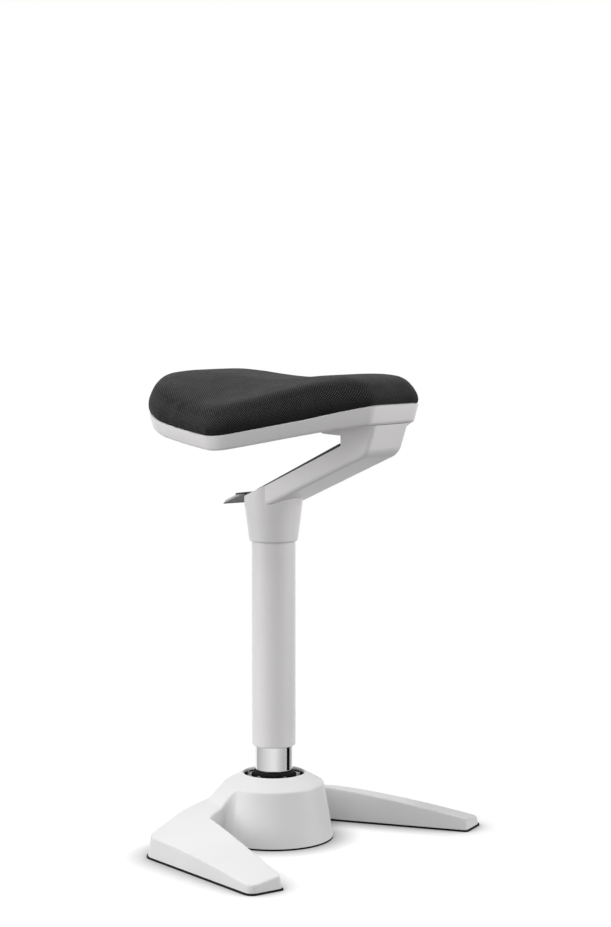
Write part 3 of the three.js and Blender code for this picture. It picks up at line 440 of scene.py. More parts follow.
# One leg's drafted wall, upright sides rounded by their own radii
def legPrism(corners, bottom, top, draft):
    bm = bmesh.new()
    verts = [bm.verts.new((x, y, bottom)) for x, y, _ in corners]
    face = bm.faces.new(verts)
    face.normal_update()
    rise = top - bottom
    bmesh.ops.inset_individual(bm, faces=[face], thickness=draft * rise, depth=rise, use_even_offset=True)
    bmesh.ops.holes_fill(bm, edges=[edge for edge in bm.edges if edge.is_boundary], sides=0)
    for i, vert in enumerate(verts):
        if corners[i][2]:
            upright = [edge for edge in vert.link_edges if edge.other_vert(vert).co.z > bottom + 0.01]
            bmesh.ops.bevel(bm, geom=upright, offset=roundReach(corners, i), offset_type="OFFSET", segments=6,
                            profile=0.5, affect="EDGES", material=-1, clamp_overlap=False)
    cleaned(bm)
    low = [vert for vert in bm.verts if vert.co.z < bottom + 1e-6]
    bmesh.ops.translate(bm, vec=(0, 0, base["sink"]), verts=low)
    return bm


def deckCone():
    bm = bmesh.new()
    height = base["deckApex"] - base["below"]
    bmesh.ops.create_cone(bm, cap_ends=True, segments=160, radius1=height / base["deckFall"], radius2=0,
                          depth=height)
    bmesh.ops.translate(bm, vec=(0, 0, (base["deckApex"] + base["below"]) / 2), verts=bm.verts)
    bmesh.ops.scale(bm, vec=(1, 1 / base["deckSpread"], 1), verts=bm.verts)
    return bm


# Where the decks of the legs run into the hub, without the walls at the back
def inBlend(vert, outer, front):
    x, _, z = vert.co
    inner = base["shoulderRadius"] + casting["startGap"]
    return inner < vert.co.xy.length < outer and casting["low"] < z < casting["high"] and x < front \
        and (x > casting["backX"] or vert.normal.z > casting["deckFacing"])


def baseShell():
    shoulder = (base["shoulderRadius"], base["shoulderHeight"])
    skirt = spun([(0, base["below"]), (base["skirtFoot"], base["below"]), (base["skirtFoot"], 0), shoulder,
                  (0, shoulder[1])], 128, closed=False)
    deckSolid = combined(deckCone(), skirt, "UNION")
    prism = legPrism(base["legCorners"], base["bottom"], shoulder[1] + base["legHeadroom"], base["draft"])
    leg = combined(prism, deckSolid, "INTERSECT")
    slope = (base["footRadius"] - shoulder[0]) / (shoulder[1] - base["bottom"])
    hub = spun([(0, base["below"]), (base["footRadius"] + slope * (base["bottom"] - base["below"]), base["below"]),
                shoulder, (base["openingRadius"] + base["lip"], base["topHeight"]), (0, base["topHeight"])],
               160, closed=False)
    shell = voxelled(joined([leg, mirroredCopy(leg), hub]), casting["voxel"])
    smoothed(shell, casting["edgeRounds"])
    shell.normal_update()
    for outer, front in casting["passes"]:
        smoothed(shell, casting["passRounds"], chosen=lambda vert: inBlend(vert, outer, front))
    cutBelow(shell, base["bottom"])
    bmesh.ops.recalc_face_normals(shell, faces=shell.faces)
    shell = combined(shell, spun(base["well"], 128, closed=False), "DIFFERENCE")
    return addObject("baseShell", toMesh(shell))


dress(baseShell(), "base", "white_iron", powderCoat, "base_casting")
print("base shell made")


def soleSheet():
    parts = []
    for mirrorIt in (False, True):
        bm = bmesh.new()
        outlineFace(bm, base["legCorners"], 0)
        pushedOut(bm, bm.faces[:][0], (0, 0, base["soleThickness"]))
        parts.append(mirroredCopy(bm) if mirrorIt else bm)
    disc = roundBar(base["footRadius"], 0, base["soleThickness"], 128)
    sole = combined(combined(parts[0], parts[1], "UNION"), disc, "UNION")
    bevelWhere(sole, base["soleRound"], 2, lambda edge: edge.calc_face_angle(0) > 1.2)
    return addObject("soleSheet", toMesh(sole))


dress(soleSheet(), "base", "rubber", rubber, "base_sole")

# A black rubber ring just under the well's lip, a dark piece that stands in for the shade inside the well
ring = {"inner": 0.0417, "outer": 0.0436, "bottom": 0.0703, "top": 0.0825, "lip": 0.0006}
wellShadeRing = spun(band(ring["inner"], ring["outer"], ring["bottom"], ring["top"]))
bevelSharp(wellShadeRing, ring["lip"], 2)
dress(addObject("wellRing", toMesh(wellShadeRing)), "base", "rubber", rubber)
print("sole and well ring made")


# ---- foot of the column and the chromed tube

foot = {
    "sleeveInner": 0.0238, "sleeveOuter": 0.029, "sleeveBottom": 0.014, "mouthInner": 0.0253, "mouthBottom": 0.074,
    "flangeRadius": 0.0335, "flangeBottom": 0.078, "flangeTop": 0.081, "sleeveEdge": 0.0005, "level": 0.0813,
    "bootInner": 0.0242, "bootOuter": 0.0275, "bootLip": 0.0262, "bootShoulder": 0.0885, "bootTop": 0.0903,
    "bootEdge": 0.0004, "ribCount": 24, "ribReach": 0.0299, "ribWidth": 0.0022, "ribTop": 0.0862,
    "clipInner": 0.0303, "clipOuter": 0.0352, "clipTop": 0.0836, "clipEdge": 0.0002,
    "tabCount": 6, "tabWidth": 0.0038, "tabEdge": 0.0003, "tabInner": 0.0330, "tabSetback": 0.0003,
    "tabBottom": 0.0816, "tabTop": 0.0872, "tabTurn": 0.61,
}
tube = {"radius": 0.025, "wall": 0.002, "top": 0.342, "bottom": 0.014, "floor": 0.018, "rodHole": 0.0053,
        "boreRadius": 0.0215, "boreTop": 0.088, "boreShoulder": 0.092, "footRadius": 0.0235, "footTop": 0.016,
        "neck": 0.0239, "neckTop": 0.08, "roundBottom": 0.0902, "roundMiddle": 0.0910, "roundTop": 0.0925,
        "roundInset": 0.0003, "lip": 0.0006, "clearance": 0.0004}
bush = {"inner": 0.0293, "outer": 0.0415, "bottom": 0.018, "top": 0.070, "grooveHalf": 0.003,
        "bottomGroove": 0.0245, "topGroove": 0.0636, "round": 0.0015}


def turnedAround(makePart, count, startShare=0):
    parts = []
    for i in range(count):
        bm = makePart()
        bmesh.ops.rotate(bm, verts=bm.verts, cent=(0, 0, 0),
                         matrix=Matrix.Rotation((i + startShare) / count * 2 * math.pi, 3, "Z"))
        parts.append(bm)
    return parts


def chromeTube():
    outer, bore = tube["radius"], tube["boreRadius"]
    inner = outer - tube["wall"] - tube["clearance"]
    # the rings just past the round and before the top hold the straight wall's shading
    bm = spun([(tube["rodHole"], tube["bottom"]), (bore, tube["bottom"]), (tube["footRadius"], tube["footTop"]),
               (tube["neck"], tube["neckTop"]), (tube["neck"], tube["roundBottom"]),
               (outer - tube["roundInset"], tube["roundMiddle"]), (outer, tube["roundTop"]),
               (outer, tube["roundTop"] + tube["lip"]), (outer, tube["top"] - 2 * tube["lip"]), (outer, tube["top"]),
               (inner, tube["top"]), (inner, tube["boreShoulder"]), (bore, tube["boreTop"]),
               (bore, tube["floor"]), (tube["rodHole"], tube["floor"])], 128)
    bevelWhere(bm, tube["lip"], 2, lambda edge: min(v.co.z for v in edge.verts) > tube["top"] - 0.001
               and abs(edge.verts[0].co.z - edge.verts[1].co.z) < 1e-6 and edge.calc_face_angle(0) > 0.5)
    return addObject("chromeTube", toMesh(bm), sharpAngle=25)


def columnBoot():
    body = spun([(foot["bootInner"], foot["level"]), (foot["bootOuter"], foot["level"]),
                 (foot["bootOuter"], foot["bootShoulder"]), (foot["bootLip"], foot["bootTop"]),
                 (foot["bootInner"], foot["bootTop"])], 96)
    bevelSharp(body, foot["bootEdge"], 2)

    def rib():
        half = foot["ribWidth"] / 2
        part = box((foot["bootLip"], -half, foot["level"]), (foot["ribReach"], half, foot["ribTop"]))
        bevelSharp(part, foot["bootEdge"], 2)
        return part

    return addObject("columnBoot", toMesh(joined([body] + turnedAround(rib, foot["ribCount"]))))


def tabbedClip():
    plate = spun(band(foot["clipInner"], foot["clipOuter"], foot["level"], foot["clipTop"]))
    bevelSharp(plate, foot["clipEdge"], 2)

    def tab():
        half = foot["tabWidth"] / 2
        part = box((foot["tabInner"], -half, foot["tabBottom"]),
                   (foot["clipOuter"] - foot["tabSetback"], half, foot["tabTop"]))
        bevelSharp(part, foot["tabEdge"], 2)
        return part

    return addObject("retainingClip", toMesh(joined([plate] + turnedAround(tab, foot["tabCount"], foot["tabTurn"]))))


def taperSleeve():
    bm = spun([(foot["sleeveInner"], foot["sleeveBottom"]), (foot["sleeveOuter"], foot["sleeveBottom"]),
               (foot["sleeveOuter"], foot["flangeBottom"]), (foot["flangeRadius"], foot["flangeBottom"]),
               (foot["flangeRadius"], foot["flangeTop"]), (foot["mouthInner"], foot["flangeTop"]),
               (foot["mouthInner"], foot["mouthBottom"])], 96)
    bevelSharp(bm, foot["sleeveEdge"], 2)
    return addObject("taperSleeve", toMesh(bm))


def rockingBush():
    inner, outer = bush["inner"], bush["outer"]
    near, far = (inner + outer) / 2 - bush["grooveHalf"], (inner + outer) / 2 + bush["grooveHalf"]
    bm = spun([(inner, bush["bottom"]), (near, bush["bottomGroove"]), (far, bush["bottomGroove"]),
               (outer, bush["bottom"]), (outer, bush["top"]), (far, bush["topGroove"]), (near, bush["topGroove"]),
               (inner, bush["top"])], 96)
    bevelSharp(bm, bush["round"], 3, 20)
    return addObject("rockingBush", toMesh(bm))


dress(chromeTube(), "column", "chrome", chrome, "gas_cylinder")
dress(columnBoot(), "column", "rubber", rubber, "column_boot")
dress(tabbedClip(), "column", "steel", dullSteel, "retaining_clip")
dress(taperSleeve(), "column", "steel", turnedSteel, "taper_sleeve")
dress(rockingBush(), "bush", "rubber", rubber, "rocking_bush")
print("column foot made")


# ---- sliding cover tube

cover = {"radius": 0.0289, "inner": 0.0267, "bottom": 0.1242, "top": 0.411, "edge": 0.0022, "rim": 0.0006,
         "guideInner": 0.0254, "guideOuter": 0.0264, "guideBottom": 0.1297, "guideTop": 0.1457,
         "guideEdge": 0.0003}


def coverTube():
    bm = spun(band(cover["inner"], cover["radius"], cover["bottom"], cover["top"]), 144)
    bevelWhere(bm, cover["edge"], 5, lambda edge: edge.calc_face_angle(0) > 1
               and max(v.co.z for v in edge.verts) < cover["bottom"] + 1e-5
               and min(v.co.xy.length for v in edge.verts) > cover["inner"] + 1e-4)
    bevelWhere(bm, cover["rim"], 2, lambda edge: edge.calc_face_angle(0) > 1)
    return addObject("coverTube", toMesh(bm))


def coverGuide():
    bm = spun(band(cover["guideInner"], cover["guideOuter"], cover["guideBottom"], cover["guideTop"]))
    bevelSharp(bm, cover["guideEdge"], 2)
    return addObject("coverGuide", toMesh(bm))


dress(coverTube(), "head", "white_plastic", mouldedWhite, "cover_tube")
dress(coverGuide(), "head", "black_plastic", blackPlastic, "cover_guide")
print("cover tube made")


# ---- seat arm: collar, sloping beam and nose block

arm = {
    "halfWidth": 0.035, "lowRound": 0.0055, "chinRound": 0.010, "blockTop": 0.5596,
    "heel": (0.004, 0.4408), "chin": (0.1862, 0.5203), "nose": (0.2000, 0.5596), "blockRear": (0.1450, 0.5317),
    "crest": (-0.0045, 0.464), "back": (-0.030, 0.455), "rear": (-0.042, 0.449),
    "collarBottom": 0.397, "collarFoot": 0.0320, "collarShoulder": 0.0388, "shoulderHeight": 0.452,
    "stockRear": 0.12, "buriedEnd": [(-0.02, 0.47), (-0.02, 0.445)], "collarStock": 0.48, "overcut": 0.02,
    "collarEdge": 0.0035, "lidHalf": 0.0336, "lidRear": 0.0019, "lidFront": 0.0044, "lidOverhang": 0.004,
    "stripRear": 0.004, "stripFront": 0.142, "stripHalf": 0.029, "stripDepth": 0.001, "seam": 0.0002,
    "grooveRear": 0.0037, "grooveFront": 0.1423, "grooveHalf": 0.0293, "grooveDepth": 0.0013, "edgeRound": 0.0009,
    "grooveTop": 0.006, "lidEdge": 0.0004,
    "socket": [(0, 0.39), (0.0298, 0.39), (0.0296, 0.398), (0.0296, 0.4113), (0.0143, 0.4113), (0.0143, 0.402),
               (0.0134, 0.4403), (0, 0.4403)],
    "leverSlot": ((-0.06, -0.009, 0.4397), (0.009, 0.009, 0.4585)),
}


def beamTop(x):
    (x0, z0), (x1, z1) = arm["crest"], arm["blockRear"]
    return z0 + (z1 - z0) / (x1 - x0) * (x - x0)


# True for the cross edge that lies on a corner of the side outline
def atCorner(edge, corner):
    return all((Vector((v.co.x, v.co.z)) - Vector(corner)).length < 1e-5 for v in edge.verts)


# A slab along the beam's top from x0 to x1, with its faces at these heights over it
def topSlab(x0, x1, lower, rearUpper, frontUpper, halfWidth):
    return sideBlock([(x0, beamTop(x0) + lower), (x1, beamTop(x1) + lower), (x1, beamTop(x1) + frontUpper),
                      (x0, beamTop(x0) + rearUpper)], halfWidth)


def seatArm():
    # beam and collar start as taller stock, and two cutters then take off what stands over the outline
    lean = (arm["nose"][0] - arm["chin"][0]) / (arm["nose"][1] - arm["chin"][1])
    top = arm["blockTop"] + arm["overcut"]
    corners = [arm["heel"], arm["chin"], (arm["nose"][0] + arm["overcut"] * lean, top), (arm["stockRear"], top),
               *arm["buriedEnd"]]
    beam = sideBlock(corners, arm["halfWidth"])
    bevelWhere(beam, arm["chinRound"], 10, lambda edge: atCorner(edge, arm["chin"]))
    half = arm["halfWidth"]

    # the lower edges of both sides, from the beam's foot round the chin and up the nose
    def lowEdge(edge):
        a, b = edge.verts
        atSide = abs(abs(a.co.y) - half) < 1e-5 and abs(a.co.y - b.co.y) < 1e-5
        return atSide and min(a.co.x, b.co.x) > 0 and max(a.co.x, b.co.x) > arm["stockRear"] + 0.01 \
            and abs(a.co.z - b.co.z) + abs(a.co.x - b.co.x) > 1e-4 and min(a.co.z, b.co.z) < top - 0.01

    bevelWhere(beam, arm["lowRound"], 5, lowEdge)
    collar = spun([(0, arm["collarBottom"]), (arm["collarFoot"], arm["collarBottom"]),
                   (arm["collarShoulder"], arm["shoulderHeight"]), (arm["collarShoulder"], arm["collarStock"]),
                   (0, arm["collarStock"])], 144, closed=False)
    bevelWhere(collar, arm["collarEdge"], 4, lambda edge: max(v.co.z for v in edge.verts) < arm["collarBottom"] + 1e-5
               and min(v.co.xy.length for v in edge.verts) > arm["collarFoot"] - 1e-4)
    solid = combined(beam, collar, "UNION")
    rear, back, crest, block = arm["rear"], arm["back"], arm["crest"], arm["blockRear"]
    over = sideBlock([(-0.1, rear[1]), rear, back, crest, block, (block[0], 0.64), (-0.1, 0.64)], 0.08)
    solid = combined(solid, over, "DIFFERENCE")
    solid = combined(solid, box((0, -0.1, arm["blockTop"]), (0.3, 0.1, 0.62)), "DIFFERENCE")
    groove = topSlab(arm["grooveRear"], arm["grooveFront"], -arm["grooveDepth"], arm["grooveTop"], arm["grooveTop"],
                     arm["grooveHalf"])
    for tool in (spun(arm["socket"], 96, closed=False), box(*arm["leverSlot"]), groove):
        solid = combined(solid, tool, "DIFFERENCE")
    bmesh.ops.remove_doubles(solid, verts=solid.verts, dist=2e-5)
    bevelSharp(solid, arm["edgeRound"], 2, 28)
    return addObject("seatArm", toMesh(solid), sharpAngle=28, evenShading=True)


def armTopCover():
    rear, front, seam = arm["stripRear"], arm["stripFront"], arm["seam"]
    body = topSlab(rear, front, -arm["stripDepth"], seam, seam, arm["stripHalf"])
    lid = topSlab(rear - arm["lidOverhang"], front, seam, arm["lidRear"], arm["lidFront"], arm["lidHalf"])
    bevelSharp(lid, arm["lidEdge"], 2)
    return addObject("armTopCover", toMesh(joined([body, lid])))


dress(seatArm(), "head", "white_alloy", paintedAlloy, "seat_arm")
dress(armTopCover(), "head", "black_plastic", blackPlastic, "arm_top_cover")
print("seat arm made")


# ---- height lever

lever = {
    "tongue": [(0.005, 0.4475), (0.005, 0.4535), (-0.041, 0.4535), (-0.041, 0.4475)],
    "blade": [(-0.040, 0.4466), (-0.0405, 0.4575), (-0.0568, 0.4560), (-0.0746, 0.4477), (-0.0757, 0.4426)],
    "tongueHalf": 0.008, "rootHalf": 0.014, "tipHalf": 0.017, "tipX": -0.079, "taperLength": 0.039,
    "slope": 0.0046, "round": 0.0006, "tongueEdge": 0.0005,
    "pad": [(-0.0405, 0.4573), (-0.0405, 0.4596), (-0.0560, 0.4583), (-0.0575, 0.4558)], "padHalf": 0.0132,
}


def heightLever():
    tongue = sideBlock(lever["tongue"], lever["tongueHalf"])
    blade = sideBlock(lever["blade"], lever["tipHalf"])
    for vert in blade.verts:
        share = (vert.co.x - lever["tipX"]) / lever["taperLength"]
        vert.co.y *= 1 - (1 - lever["rootHalf"] / lever["tipHalf"]) * min(1, max(0, share))
    # the tip's upper edge and the two edges that run up from it
    upper = [edge for edge in blade.edges if min(v.co.z for v in edge.verts) > 0.447
             and max(v.co.x for v in edge.verts) < -0.05
             and abs(edge.verts[0].co.x - edge.verts[1].co.x) > 0.004]
    bmesh.ops.bevel(blade, geom=upper, offset=lever["slope"], offset_type="WIDTH", segments=1, profile=0.5,
                    affect="EDGES", material=-1)
    bevelSharp(blade, lever["round"], 2, 25)
    bevelSharp(tongue, lever["tongueEdge"], 2)
    return addObject("heightLever", toMesh(joined([tongue, blade])))


def leverPad():
    bm = sideBlock(lever["pad"], lever["padHalf"])
    bevelSharp(bm, lever["round"], 2)
    return addObject("leverPad", toMesh(bm))


dress(heightLever(), "lever", "grey_plastic", greyPlastic, "height_lever")
dress(leverPad(), "lever", "black_plastic", blackPlastic)
print("height lever made")


# ---- seat: shell, cushion

seat = {
    "corners": [(-0.168, -0.050, 0.070), (-0.082, -0.153, 0.110), (0.065, -0.187, 0.036), (0.207, -0.046, 0.016)],
    "underside": 0.560, "flatHalf": 0.044, "wingHalf": 0.187, "droop": 0.034, "creaseSoftness": 0.010,
    "wingX": 0.065, "droopReach": 0.248, "rearX": -0.168, "noseX": 0.207, "noseRise": 0.0045,
    "noseRiseLength": 0.060,
    "rim": 0.020, "draft": 0.006, "wall": 0.0035, "footRound": 0.004, "grid": 0.012,
    "bossRear": 0.100, "bossToe": 0.112, "bossFront": 0.1447, "bossHalf": 0.033, "bossDepth": 0.0156,
    "bossOverlap": 0.001, "bossToeRise": 0.0014, "bossRound": 0.0012,
    "screws": [(0.0787, 0.0916), (-0.0269, 0.1047), (-0.1076, 0.0524)], "recessRadius": 0.0048, "recess": 0.003,
}


def undersideHeight(x, y):
    soft = seat["creaseSoftness"]
    past = abs(y) - seat["flatHalf"]
    if abs(past) < soft:
        past = (past + soft) ** 2 / (4 * soft)
    out = max(0, past) / (seat["wingHalf"] - seat["flatHalf"])
    back = (x - seat["wingX"]) / seat["droopReach"]
    return seat["underside"] - seat["droop"] * out * (1 - back * back)


def noseLift(x):
    return seat["noseRise"] * max(0, (x - seat["noseX"] + seat["noseRiseLength"]) / seat["noseRiseLength"])


def rimLevel(x, y):
    return undersideHeight(x, y) + seat["rim"] + noseLift(x)


def seatCorners():
    side = seat["corners"]
    return side + [(x, -y, radius) for x, y, radius in reversed(side)]


# The seat's plan outline as a flat face looking up
def seatFace(bm):
    outlineFace(bm, seatCorners(), 0, segments=10)
    face = bm.faces[:][0]
    face.normal_update()
    if face.normal.z < 0:
        face.normal_flip()
    return face


def gridCut(bm, step):
    for axis in range(2):
        low = min(v.co[axis] for v in bm.verts)
        high = max(v.co[axis] for v in bm.verts)
        count = int((high - low) / step)
        for i in range(1, count + 1):
            place = [0, 0, 0]
            place[axis] = low + (high - low) * i / (count + 1)
            across = [0, 0, 0]
            across[axis] = 1
            geom = bm.verts[:] + bm.edges[:] + bm.faces[:]
            bmesh.ops.bisect_plane(bm, geom=geom, dist=1e-6, plane_co=place, plane_no=across)


def seatShell():
    bm = bmesh.new()
    face = seatFace(bm)
    bmesh.ops.inset_individual(bm, faces=[face], thickness=seat["draft"], depth=-seat["rim"], use_even_offset=True)
    bevelWhere(bm, seat["footRound"], 4, lambda edge: edge.calc_face_angle(0) > 0.8
               and max(v.co.z for v in edge.verts) < -seat["rim"] + 1e-5)
    bmesh.ops.translate(bm, vec=(0, 0, seat["rim"]), verts=bm.verts)
    gridCut(bm, seat["grid"])
    for vert in bm.verts:
        x, y, z = vert.co
        vert.co.z = undersideHeight(x, y) + z + noseLift(x) * z / seat["rim"]
    shell = shaped(bm, ("SOLIDIFY", {"thickness": seat["wall"], "offset": 1, "use_even_offset": True}))
    bmesh.ops.recalc_face_normals(shell, faces=shell.faces)
    for x, y in [(x, sign * y) for x, y in seat["screws"] for sign in (-1, 1)]:
        level = undersideHeight(x, y)
        bore = roundBar(seat["recessRadius"], level - seat["rim"], level + seat["recess"], 24)
        bmesh.ops.translate(bore, vec=(x, y, 0), verts=bore.verts)
        shell = combined(shell, bore, "DIFFERENCE")
    low, high = seat["underside"] - seat["bossDepth"], seat["underside"] + seat["bossOverlap"]
    boss = sideBlock([(seat["bossRear"], high), (seat["bossToe"], low + seat["bossToeRise"]),
                      (seat["bossFront"], low), (seat["bossFront"], high)], seat["bossHalf"])
    bevelSharp(boss, seat["bossRound"], 3)
    return addObject("seatShell", toMesh(joined([shell, boss])))


dress(seatShell(), "head", "white_plastic", mouldedWhite, "seat_pan")
print("seat shell made")

cushion = {
    "rest": 0.0006, "height": 0.0434,
    # the flank, each point with its share of the height and how far it is drawn in
    "edge": [(0, 0), (0.04, -0.0012), (0.12, -0.002), (0.3, -0.002), (0.5, 0.0008), (0.68, 0.0042), (0.82, 0.0090),
             (0.92, 0.0146), (0.98, 0.0200), (1.0, 0.0280)],
    "dip": 0.0110, "dipX": 0.030, "dipReach": 0.090, "noseRoll": 0.018, "noseRollLength": 0.070,
    "rearRoll": 0.012, "rearRollLength": 0.080, "swell": 0.0016,
    "topReach": 0.012, "grid": 0.008, "voxel": 0.0042, "rounds": 2, "tuckIn": 0.0042, "tuckHeight": 0.009,
    "pressure": 4.0, "frames": 20, "quality": 5, "heldHeight": 0.006,
    "give": 0.14,  # the part of the cloth's movement that is kept
}


def crownHeight(x):
    dip = cushion["dip"] * math.exp(-((x - cushion["dipX"]) / cushion["dipReach"]) ** 2)
    nose = cushion["noseRoll"] * max(0, 1 - (seat["noseX"] - x) / cushion["noseRollLength"]) ** 2
    rear = cushion["rearRoll"] * max(0, 1 - (x - seat["rearX"]) / cushion["rearRollLength"]) ** 2
    return cushion["height"] - dip - nose - rear


# Rings raised from the seat's outline, drawn in towards the column as they climb
def cushionForm():
    bm = bmesh.new()
    face = seatFace(bm)
    steps = list(zip(cushion["edge"], cushion["edge"][1:]))
    steps.append(((1.0, cushion["edge"][-1][1]), (1.0, cushion["edge"][-1][1] + cushion["topReach"])))
    for (rise0, in0), (rise1, in1) in steps:
        grown = bmesh.ops.extrude_face_region(bm, geom=[face])
        face = [item for item in grown["geom"] if isinstance(item, bmesh.types.BMFace)][0]
        for vert in face.verts:
            reach = vert.co.xy.length
            vert.co.xy *= (reach - (in1 - in0)) / reach
            vert.co.z += (rise1 - rise0) * cushion["height"]
    cleaned(bm)
    gridCut(bm, cushion["grid"])
    for vert in bm.verts:
        x, y, z = vert.co
        share = z / cushion["height"]
        vert.co.z = rimLevel(x, y) + cushion["rest"] + share * (crownHeight(x) - cushion["swell"])
    return bm


# The form swells under air pressure as cloth, held still along the rim
def pressed(bm):
    obj = linked("pressWork", toMesh(bm))
    cloth = obj.modifiers.new("Cloth", "CLOTH")
    cloth.settings.use_pressure = True
    cloth.settings.uniform_pressure_force = cushion["pressure"]
    cloth.settings.effector_weights.gravity = 0
    cloth.settings.quality = cushion["quality"]
    cloth.point_cache.frame_start, cloth.point_cache.frame_end = 1, cushion["frames"]
    start = [v.co.copy() for v in obj.data.vertices]
    scene = bpy.context.scene
    for step in range(1, cushion["frames"] + 1):
        scene.frame_set(step)
    mesh = evaluatedMesh(obj)
    for vert, origin in zip(mesh.vertices, start):
        move = vert.co - origin
        freedom = max(0, min(1, (origin.z - rimLevel(origin.x, origin.y)) / cushion["heldHeight"]))
        vert.co = origin + move * freedom * cushion["give"]
    scene.frame_set(1)
    discard(obj)
    return fromMesh(mesh)


# Length round the seat and height, then the height above the rim, which sets the cloth's painted shade
def mapCloth(bm):
    layer = bm.loops.layers.uv.new("clothMap")
    outline = bmesh.new()
    seatFace(outline)
    ringVerts = [loop.vert.co.copy() for loop in outline.faces[:][0].loops]
    outline.free()
    lengths = [0.0]
    angles = [math.atan2(co.y, co.x) for co in ringVerts]
    start = angles.index(min(angles))
    ringVerts = ringVerts[start:] + ringVerts[:start]
    angles = angles[start:] + angles[:start]
    for a, b in zip(ringVerts, ringVerts[1:] + ringVerts[:1]):
        lengths.append(lengths[-1] + (b - a).length)
    angles.append(angles[0] + 2 * math.pi)

    def around(co):
        angle = math.atan2(co.y, co.x)
        if angle < angles[0]:
            angle += 2 * math.pi
        for i in range(len(angles) - 1):
            if angles[i] <= angle <= angles[i + 1]:
                share = (angle - angles[i]) / max(1e-9, angles[i + 1] - angles[i])
                return lengths[i] + share * (lengths[i + 1] - lengths[i])
        return 0

    bm.normal_update()
    places = {vert: around(vert.co) for vert in bm.verts}
    rimLayer = bm.loops.layers.uv.new("rimMap")
    for face in bm.faces:
        first = places[face.loops[0].vert]
        for loop in face.loops:
            co = loop.vert.co
            along = places[loop.vert]
            if along - first > lengths[-1] / 2:
                along -= lengths[-1]
            elif first - along > lengths[-1] / 2:
                along += lengths[-1]
            loop[layer].uv = (along, co.z)
            loop[rimLayer].uv = (co.z - rimLevel(co.x, co.y), 0)


# The cover's tucked edge, a slab just inside the shell's rim
def tuckedEdge():
    bm = bmesh.new()
    face = seatFace(bm)
    bmesh.ops.inset_individual(bm, faces=[face], thickness=cushion["tuckIn"], use_even_offset=True)
    outer = [other for other in bm.faces if other is not face]
    bmesh.ops.delete(bm, geom=outer, context="FACES")
    pushedOut(bm, face, (0, 0, cushion["tuckHeight"]))
    gridCut(bm, seat["grid"])
    for vert in bm.verts:
        x, y, z = vert.co
        vert.co.z = rimLevel(x, y) + z - cushion["tuckHeight"] / 2
    return bm


def seatCushion():
    bm = voxelled(cushionForm(), cushion["voxel"])
    smoothed(bm, cushion["rounds"])
    bm = pressed(bm)
    bm = shaped(bm, ("SUBSURF", {"levels": 1, "render_levels": 1}))
    cleaned(bm)
    bm = joined([bm, tuckedEdge()])
    mapCloth(bm)
    return addObject("seatCushion", toMesh(bm), sharpAngle=180)


pad = dress(seatCushion(), "head", "fabric", fabric, "seat_cushion")
print("cushion made")


# ---- finishes of the parts that keep their own shape

keptFinishes = {
    "bush_housing": turnedSteel, "thrust_bearing": turnedSteel, "tube_guide": blackPlastic,
    "piston_rod": turnedSteel, "rod_clip": turnedSteel, "piston_head": blackPlastic, "lift_cylinder": blackSteel,
    "lift_gland": blackPlastic, "lever_pin": turnedSteel, "mount_plate": blackSteel, "seat_board": plywood,
    "valve_pin": turnedSteel,
}
for name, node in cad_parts.items():
    if node.hide_render:  # replaced by a piece modelled above
        continue
    screwLike = name.startswith(("housing_screw", "arm_bolt", "board_screw"))
    finish = blackSteel if screwLike else keptFinishes[name]
    for slot in node.material_slots:
        slot.material = finish
print("kept parts finished")


# ---- room, lights and camera

# Among these are the reach and depth of the floor's painted contact shadow
room = {"tilt": 4.62, "pan": 0.863, "turn": 42.0, "distance": 2.8, "height": 0.726, "lens": 82.72, "sensor": 36,
        "clip": (0.05, 50), "floorGlow": 0.82, "floorTone": 0.26, "floorBounce": 0.15, "paintedShadowReach": 0.045,
        "paintedShadowDepth": 2.5, "ambient": 0.38, "floorRadius": 6, "fade": (0.42, 0.75), "aim": (0, 0, 0.3)}


# The floor keeps the stool's real shadow in its lit part, adds a painted contact shadow near the stool from the
# occlusion there, and fades to plain white further out
def studioFloor():
    bm = bmesh.new()
    bmesh.ops.create_circle(bm, cap_ends=True, segments=96, radius=room["floorRadius"])
    obj = addObject("studioFloor", toMesh(bm))
    material, tree, shader = newMaterial("floorPaint", Roughness=0.9, Specular_IOR_Level=0.1)
    sight = addNode(tree, "ShaderNodeLightPath")
    seen = figured(tree, "MAXIMUM", sight.outputs["Is Camera Ray"], sight.outputs["Is Glossy Ray"])
    tones = spread(tree, seen, room["floorBounce"], room["floorTone"], 0, 1)
    tree.links.new(tones, shader.inputs["Base Color"])
    coords = addNode(tree, "ShaderNodeTexCoord")
    reach = addNode(tree, "ShaderNodeVectorMath", operation="LENGTH")
    tree.links.new(coords.outputs["Object"], reach.inputs[0])
    far = spread(tree, reach.outputs["Value"], 0, 1, *room["fade"])
    # Painted contact shadow: the floor's glow is darkened near the stool by the occlusion there
    paintedShadowOcclusion = addNode(tree, "ShaderNodeAmbientOcclusion", Distance=room["paintedShadowReach"])
    paintedShadowShare = figured(tree, "POWER", paintedShadowOcclusion.outputs["AO"], room["paintedShadowDepth"])
    glow = addNode(tree, "ShaderNodeEmission")
    level = figured(tree, "MULTIPLY", seen, room["floorGlow"])
    tree.links.new(figured(tree, "MULTIPLY", level, paintedShadowShare), glow.inputs["Strength"])
    lit = addNode(tree, "ShaderNodeAddShader")
    tree.links.new(shader.outputs[0], lit.inputs[0])
    tree.links.new(glow.outputs[0], lit.inputs[1])
    white = addNode(tree, "ShaderNodeEmission", Strength=1.0)
    mixer = addNode(tree, "ShaderNodeMixShader")
    tree.links.new(figured(tree, "MULTIPLY", far, seen), mixer.inputs[0])
    tree.links.new(lit.outputs[0], mixer.inputs[1])
    tree.links.new(white.outputs[0], mixer.inputs[2])
    tree.links.new(mixer.outputs[0], tree.nodes["Material Output"].inputs["Surface"])
    obj.data.materials.append(material)


studioFloor()


